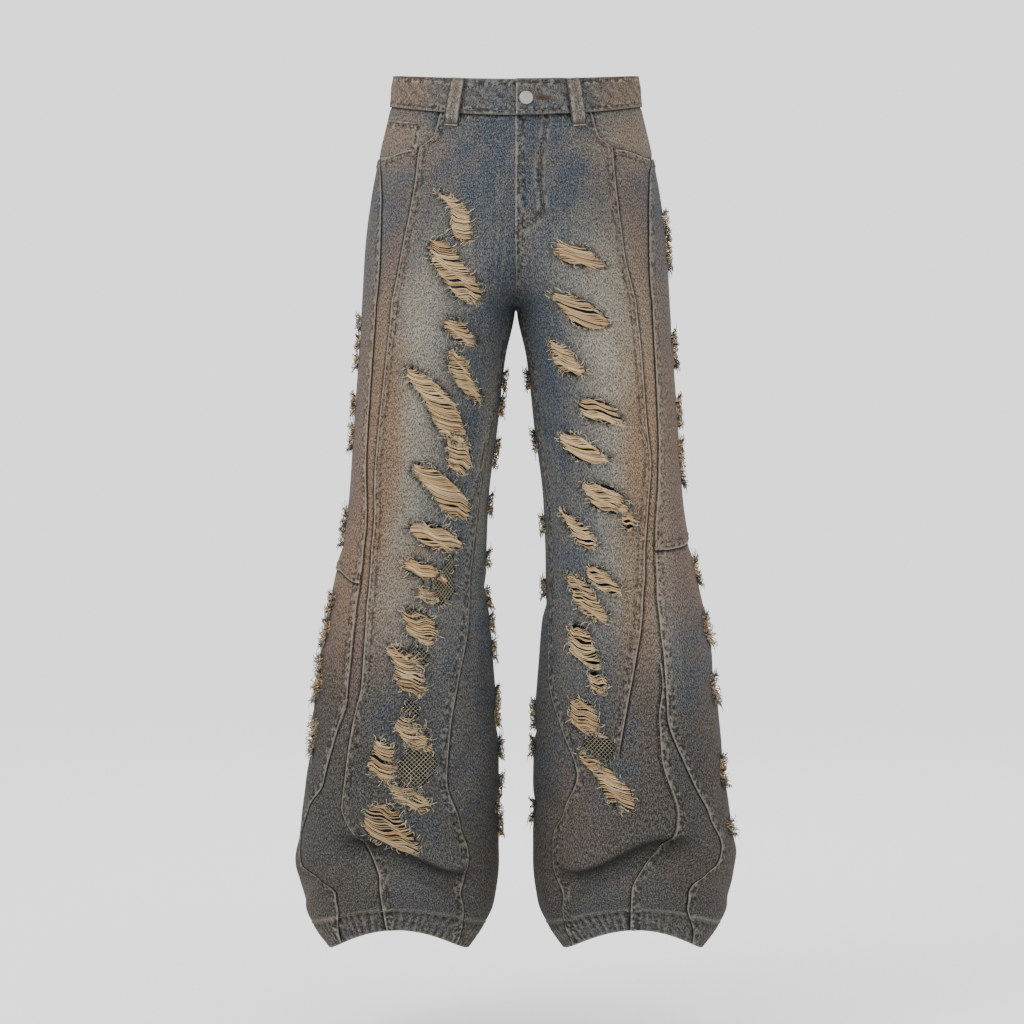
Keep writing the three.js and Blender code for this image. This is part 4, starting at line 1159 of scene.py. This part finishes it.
# stitches along a line of places: arched capsules at an even pitch, measured along the surface.
# Each has four points, its ends sunk and thin, its middle raised.
def stitchRow(surface, angles, heights, lift):
    angles, heights = np.broadcast_arrays(np.asarray(angles, float), np.asarray(heights, float))
    share, whole = np.linspace(0, 1, max(len(angles) * 6, 60)), np.linspace(0, 1, len(angles))
    angle, height = np.interp(share, whole, angles), np.interp(share, whole, heights)
    spots = surface(angle, height, 0.0 * angle)
    path = np.concatenate([[0], np.cumsum(np.linalg.norm(np.diff(spots, axis=0), axis=1))])
    count = int(path[-1] / threadLook["pitch"])
    starts = (np.arange(count) + 0.1) * threadLook["pitch"] + random.uniform(-0.15, 0.15, count)
    places = starts[:, None] + np.array([0, 0.22, 0.78, 1.0])[None, :] * threadLook["length"]
    a, h = np.interp(places, path, angle), np.interp(places, path, height)
    under = np.interp(places, path, lift(height)) if callable(lift) else lift
    arch = under + np.array([-0.35, 0.28, 0.28, -0.35])[None, :]
    centres = surface(a, h, arch)
    reference = surface(a[:, 0], h[:, 0], arch[:, 0] + 1) - centres[:, 0]
    radius = threadLook["radius"] * np.broadcast_to(np.array([0.55, 1, 1, 0.55]), (count, 4))
    brown, light = tints(threadLook, "brown", "light")
    shade = brown + (light - brown) * random.uniform(0, 1, (count, 1)) ** 2
    shade = shade * random.uniform(0.6, 1.05, (count, 1))
    stitchSets.append((centres, radius, threadLook["sides"], reference, shade))


# a row beside a seam line: the angle moves by the offset over the millimetres in a degree
def besideSeam(leg, line, top, foot, offset, lift=seamLift):
    heights = np.linspace(top, foot, max(int((top - foot) / 6), 6))
    angles = line(heights)
    stitchRow(onLeg[leg], angles + offset / degreeLength(angles, heights), heights, lift)


singleRow, doubleRow, hemRow = 2.8, (2.6, 8.2), -1038  # distances from a seam, and where rows end
for leg, frontLine, sideLine, foot in (("right", rightFront, rightSide, hemRow),
                                       ("left", leftMouthLine, leftOuterLine, -812)):
    surface = onLeg[leg]
    for offset in doubleRow:
        besideSeam(leg, frontLine, -12, foot, -offset)
    besideSeam(leg, innerFront[leg], -286, hemRow, singleRow)
    besideSeam(leg, sideLine, -84, hemRow, -doubleRow[0])
    sideAngle = float(sideLine(np.array(-600.0)))
    for offset in doubleRow:
        besideSeam(leg, backSide, -70, hemRow, offset)
        below, yoke = np.linspace(-47, 7, 30), np.linspace(9, 89, 40)
        across = np.linspace(sideAngle + 1, 47, 30)
        stitchRow(surface, below, pocketLevel(below) - offset, foldLift)
        stitchRow(surface, yoke, yokeSeam(yoke) + offset, foldLift)
        stitchRow(surface, across, kneeSeam[leg](across) + offset, foldLift)
    besideSeam(leg, backInner, -14, hemRow, -singleRow)
    stitchRow(surface, np.linspace(-180, 180, 121), body["hemStitch"], 0.95)
    for inset in (0.028, 0.1):  # the back pocket's rows, as shares of its width
        left, right = pocketLook["left"] + 40 * inset, pocketLook["right"] - 40 * inset
        stitchRow(surface, [left, left], [-112, -217], patchLift)
        stitchRow(surface, [right, right], [-112, -217], patchLift)
        stitchRow(surface, [left, 56, right], [-214, -240 + 120 * inset, -214], patchLift)
        stitchRow(surface, [37, 75], -111 - 60 * inset, patchLift)
besideSeam("left", leftGore, gore - 4, hemRow, doubleRow[0], 1.0)
besideSeam("left", innerFront["left"], -12, -264, singleRow)
bandTurns = np.concatenate([np.linspace(1, 18, 20), np.linspace(18.5, 359, 240)])
for level in (band["upperRow"], band["lowerRow"]):
    stitchRow(waistPoint, bandTurns[bandTurns > 26], level, bandLift)
    stitchRow(waistPoint, bandTurns[bandTurns <= 18.5], level, bandLift + band["lap"])
stitchRow(waistPoint, [1.4, 1.4], [26.0, -5.0], bandLift + band["lap"])
for offset in (0, 6.0):
    stitchRow(onLeg["left"], flyAngles - offset * 0.55, flyHeights + offset * 0.15,
              lambda h: 1.15 + 0.95 * ease(-156, -170, h))
for offset in (3.0, 6.5):
    stitchRow(onLeg["right"], np.linspace(-10, -41, 12), -27 - offset, 1.25)
stitchRow(onLeg["right"], [-41.5, -41.5], [-30, -66], 1.25)
tubePiece("topstitching", stitchSets, stitchThread)

tackLook = dict(radius=0.4, sides=4, zigzags=14, colour="5f4f40", dark=0.7, perTurn=2.02)
tackSets = []


# bar tack or buttonhole side: a line of places in millimetres, swung from side to side by half
# its width at every second point and arched by a sine. Scale is the millimetres in a degree.
def barTack(surface, scale, start, stop, width, lift):
    count = tackLook["zigzags"]
    t = np.linspace(0, 1, count * 4 + 1)
    swing = np.where(np.arange(len(t)) % 4 < 2, -1, 1) * width / 2
    (x0, y0), (x1, y1) = start, stop
    dx, dy = x1 - x0, y1 - y0
    length = np.hypot(dx, dy)
    x, y = x0 + dx * t - dy / length * swing, y0 + dy * t + dx / length * swing
    centres = surface(x / scale, y, lift + 0.25 * np.abs(np.sin(t * count * np.pi)))
    ends = [surface(x[:1] / scale, y[:1], up + 0 * x[:1]) for up in (lift, lift + 1)]
    shade = next(tints(tackLook, "colour"))[None] * tackLook["dark"]
    tackSets.append((centres[None], np.full((1, len(t)), tackLook["radius"]), tackLook["sides"],
                     ends[1] - ends[0], shade))


waistScale, flyScale = tackLook["perTurn"], float(degreeLength(-90, -150))
for topTurn, footTurn in loops.values():
    for y, turn, lift in ((29.4, topTurn, 5.2), (-24.0, footTurn, 3.6)):
        x = turn * waistScale
        barTack(waistPoint, waistScale, (x - 6, y), (x + 6, y), 1.6, lift)
for offset in (-1, 1):
    barTack(waistPoint, waistScale, (17.5, 9 + 1.3 * offset), (31, 9 + 0.6 * offset), 1.5, 6.1)
barTack(waistPoint, waistScale, (30.6, 7.4), (30.6, 10.6), 2.2, 6.1)
for (a0, y0), (a1, y1) in (((-94.5, -146), (-92.5, -163)), ((-111.0, -172), (-111.0, -184))):
    barTack(onLeg["left"], flyScale, (a0 * flyScale, y0), (a1 * flyScale, y1), 1.8, 1.0)
tubePiece("bar_tacks", tackSets, stitchThread)

# the tack button: radius and height of a profile spun round its post, with a rolled rim and a
# shallow dished face
buttonLook = dict(turn=4.4, height=9.0, stand=5.9, sides=48, low="8b857e", high="aba69f")
profile = np.array([[0, -1.2], [2.6, -1.2], [3.0, 0.0], [7.4, 0.1], [8.3, 0.6], [8.5, 1.3], [8.35, 2.1],
                    [7.8, 2.75], [7.1, 2.85], [6.6, 2.55], [6.1, 2.45], [5.4, 2.75], [4.2, 3.05],
                    [2.4, 3.2], [0, 3.25]])
turn = (np.arange(buttonLook["sides"]) / buttonLook["sides"] * 2 * np.pi)[None, :, None]
origin, above = (waistPoint(buttonLook["turn"], buttonLook["height"], buttonLook["stand"] + up)
                 for up in (0, 1))
axis = above - origin
axisX = np.cross([0, 0, 1.0], axis)
axisX /= np.linalg.norm(axisX)
axisY = np.cross(axis, axisX)
out, up = profile[:, 0][:, None, None], profile[:, 1][:, None, None]
rings = origin + up * axis + out * (np.cos(turn) * axisX + np.sin(turn) * axisY)
walls = rings[1:-1]
count, sides = walls.shape[:2]
index = np.arange(count * sides).reshape(count, sides)
beside = np.roll(index, -1, axis=1)
faces = np.stack([index[:-1], beside[:-1], beside[1:], index[1:]], axis=-1).reshape(-1, 4).tolist()
faces += [[count * sides, int(b), int(a)] for a, b in zip(index[0], beside[0])]
faces += [[count * sides + 1, int(a), int(b)] for a, b in zip(index[-1], beside[-1])]
points = np.concatenate([walls.reshape(-1, 3), rings[0, :1], rings[-1, :1]])

# Zinc-alloy tack button, tumbled and pewter plated: a matte satin metal with faint scuffs
pewter, tree, shader, add = newMaterial("tumbledPewterPlate", Roughness=0.42, Metallic=0.9)
scuff = add("ShaderNodeTexNoise", {"Vector": add("ShaderNodeTexCoord", out="Object"), "Scale": 900.0,
                                   "Detail": 4.0})
tint = add("ShaderNodeValToRGB", {0: scuff})
for stop, place, colour in zip(tint.node.color_ramp.elements, (0.35, 0.7), ("low", "high")):
    stop.position, stop.color = place, hexColour(buttonLook[colour])
tree.links.new(tint, shader.inputs["Base Color"])
tree.links.new(add("ShaderNodeMapRange", {0: scuff, 3: 0.34, 4: 0.55}), shader.inputs["Roughness"])
button = makePiece("tack_button", points, faces, [pewter])
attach(button, "root")
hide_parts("button")
print("trims done")

# plain pale floor just under the hems, soft white studio light, level camera
studio = dict(floorGap=0.12, floorHalf=30, world=1.7, lens=88.6, eye=(-0.005, -3.2, -0.5245))
lamps = dict(key=((-1.8, -1.6, 1.5), -0.45, 0.9, 34), fill=((2.2, -2.2, 0.2), -0.5, 1.6, 3),
             back=((0.4, 2.6, 1.6), -0.5, 1.6, 20))
far, floorLevel = studio["floorHalf"], cadLow[2] - studio["floorGap"]
floorMesh = bpy.data.meshes.new("floor")
floorMesh.from_pydata([(x, y, floorLevel) for x, y in ((-far, -far), (far, -far), (far, far), (-far, far))],
                      [], [(0, 1, 2, 3)])
floor = bpy.data.objects.new("floor", floorMesh)
bpy.context.scene.collection.objects.link(floor)
floorMesh.materials.append(newMaterial("seamlessPaper", Roughness=0.9, Base_Color=hexColour("ffffff"))[0])

world = bpy.data.worlds.new("studio")
bpy.context.scene.world = world
world.use_nodes = True
background = world.node_tree.nodes["Background"]
background.inputs[0].default_value = (1, 1, 1, 1)
background.inputs[1].default_value = studio["world"]

# soft square lamps: place, height of the point they face, size and power
for name, (place, aim, size, power) in lamps.items():
    light = bpy.data.lights.new(name, "AREA")
    light.shape, light.size, light.energy = "SQUARE", size, power
    lamp = bpy.data.objects.new(name, light)
    bpy.context.scene.collection.objects.link(lamp)
    way = mathutils.Vector((0, 0, aim)) - mathutils.Vector(place)
    lamp.location = place
    lamp.rotation_euler = way.to_track_quat("-Z", "Y").to_euler()

cameraData = bpy.data.cameras.new("camera")
cameraData.lens, cameraData.sensor_width = studio["lens"], 36
camera = bpy.data.objects.new("camera", cameraData)
camera.location, camera.rotation_euler = studio["eye"], (np.pi / 2, 0, 0)
bpy.context.scene.collection.objects.link(camera)
bpy.context.scene.camera = camera
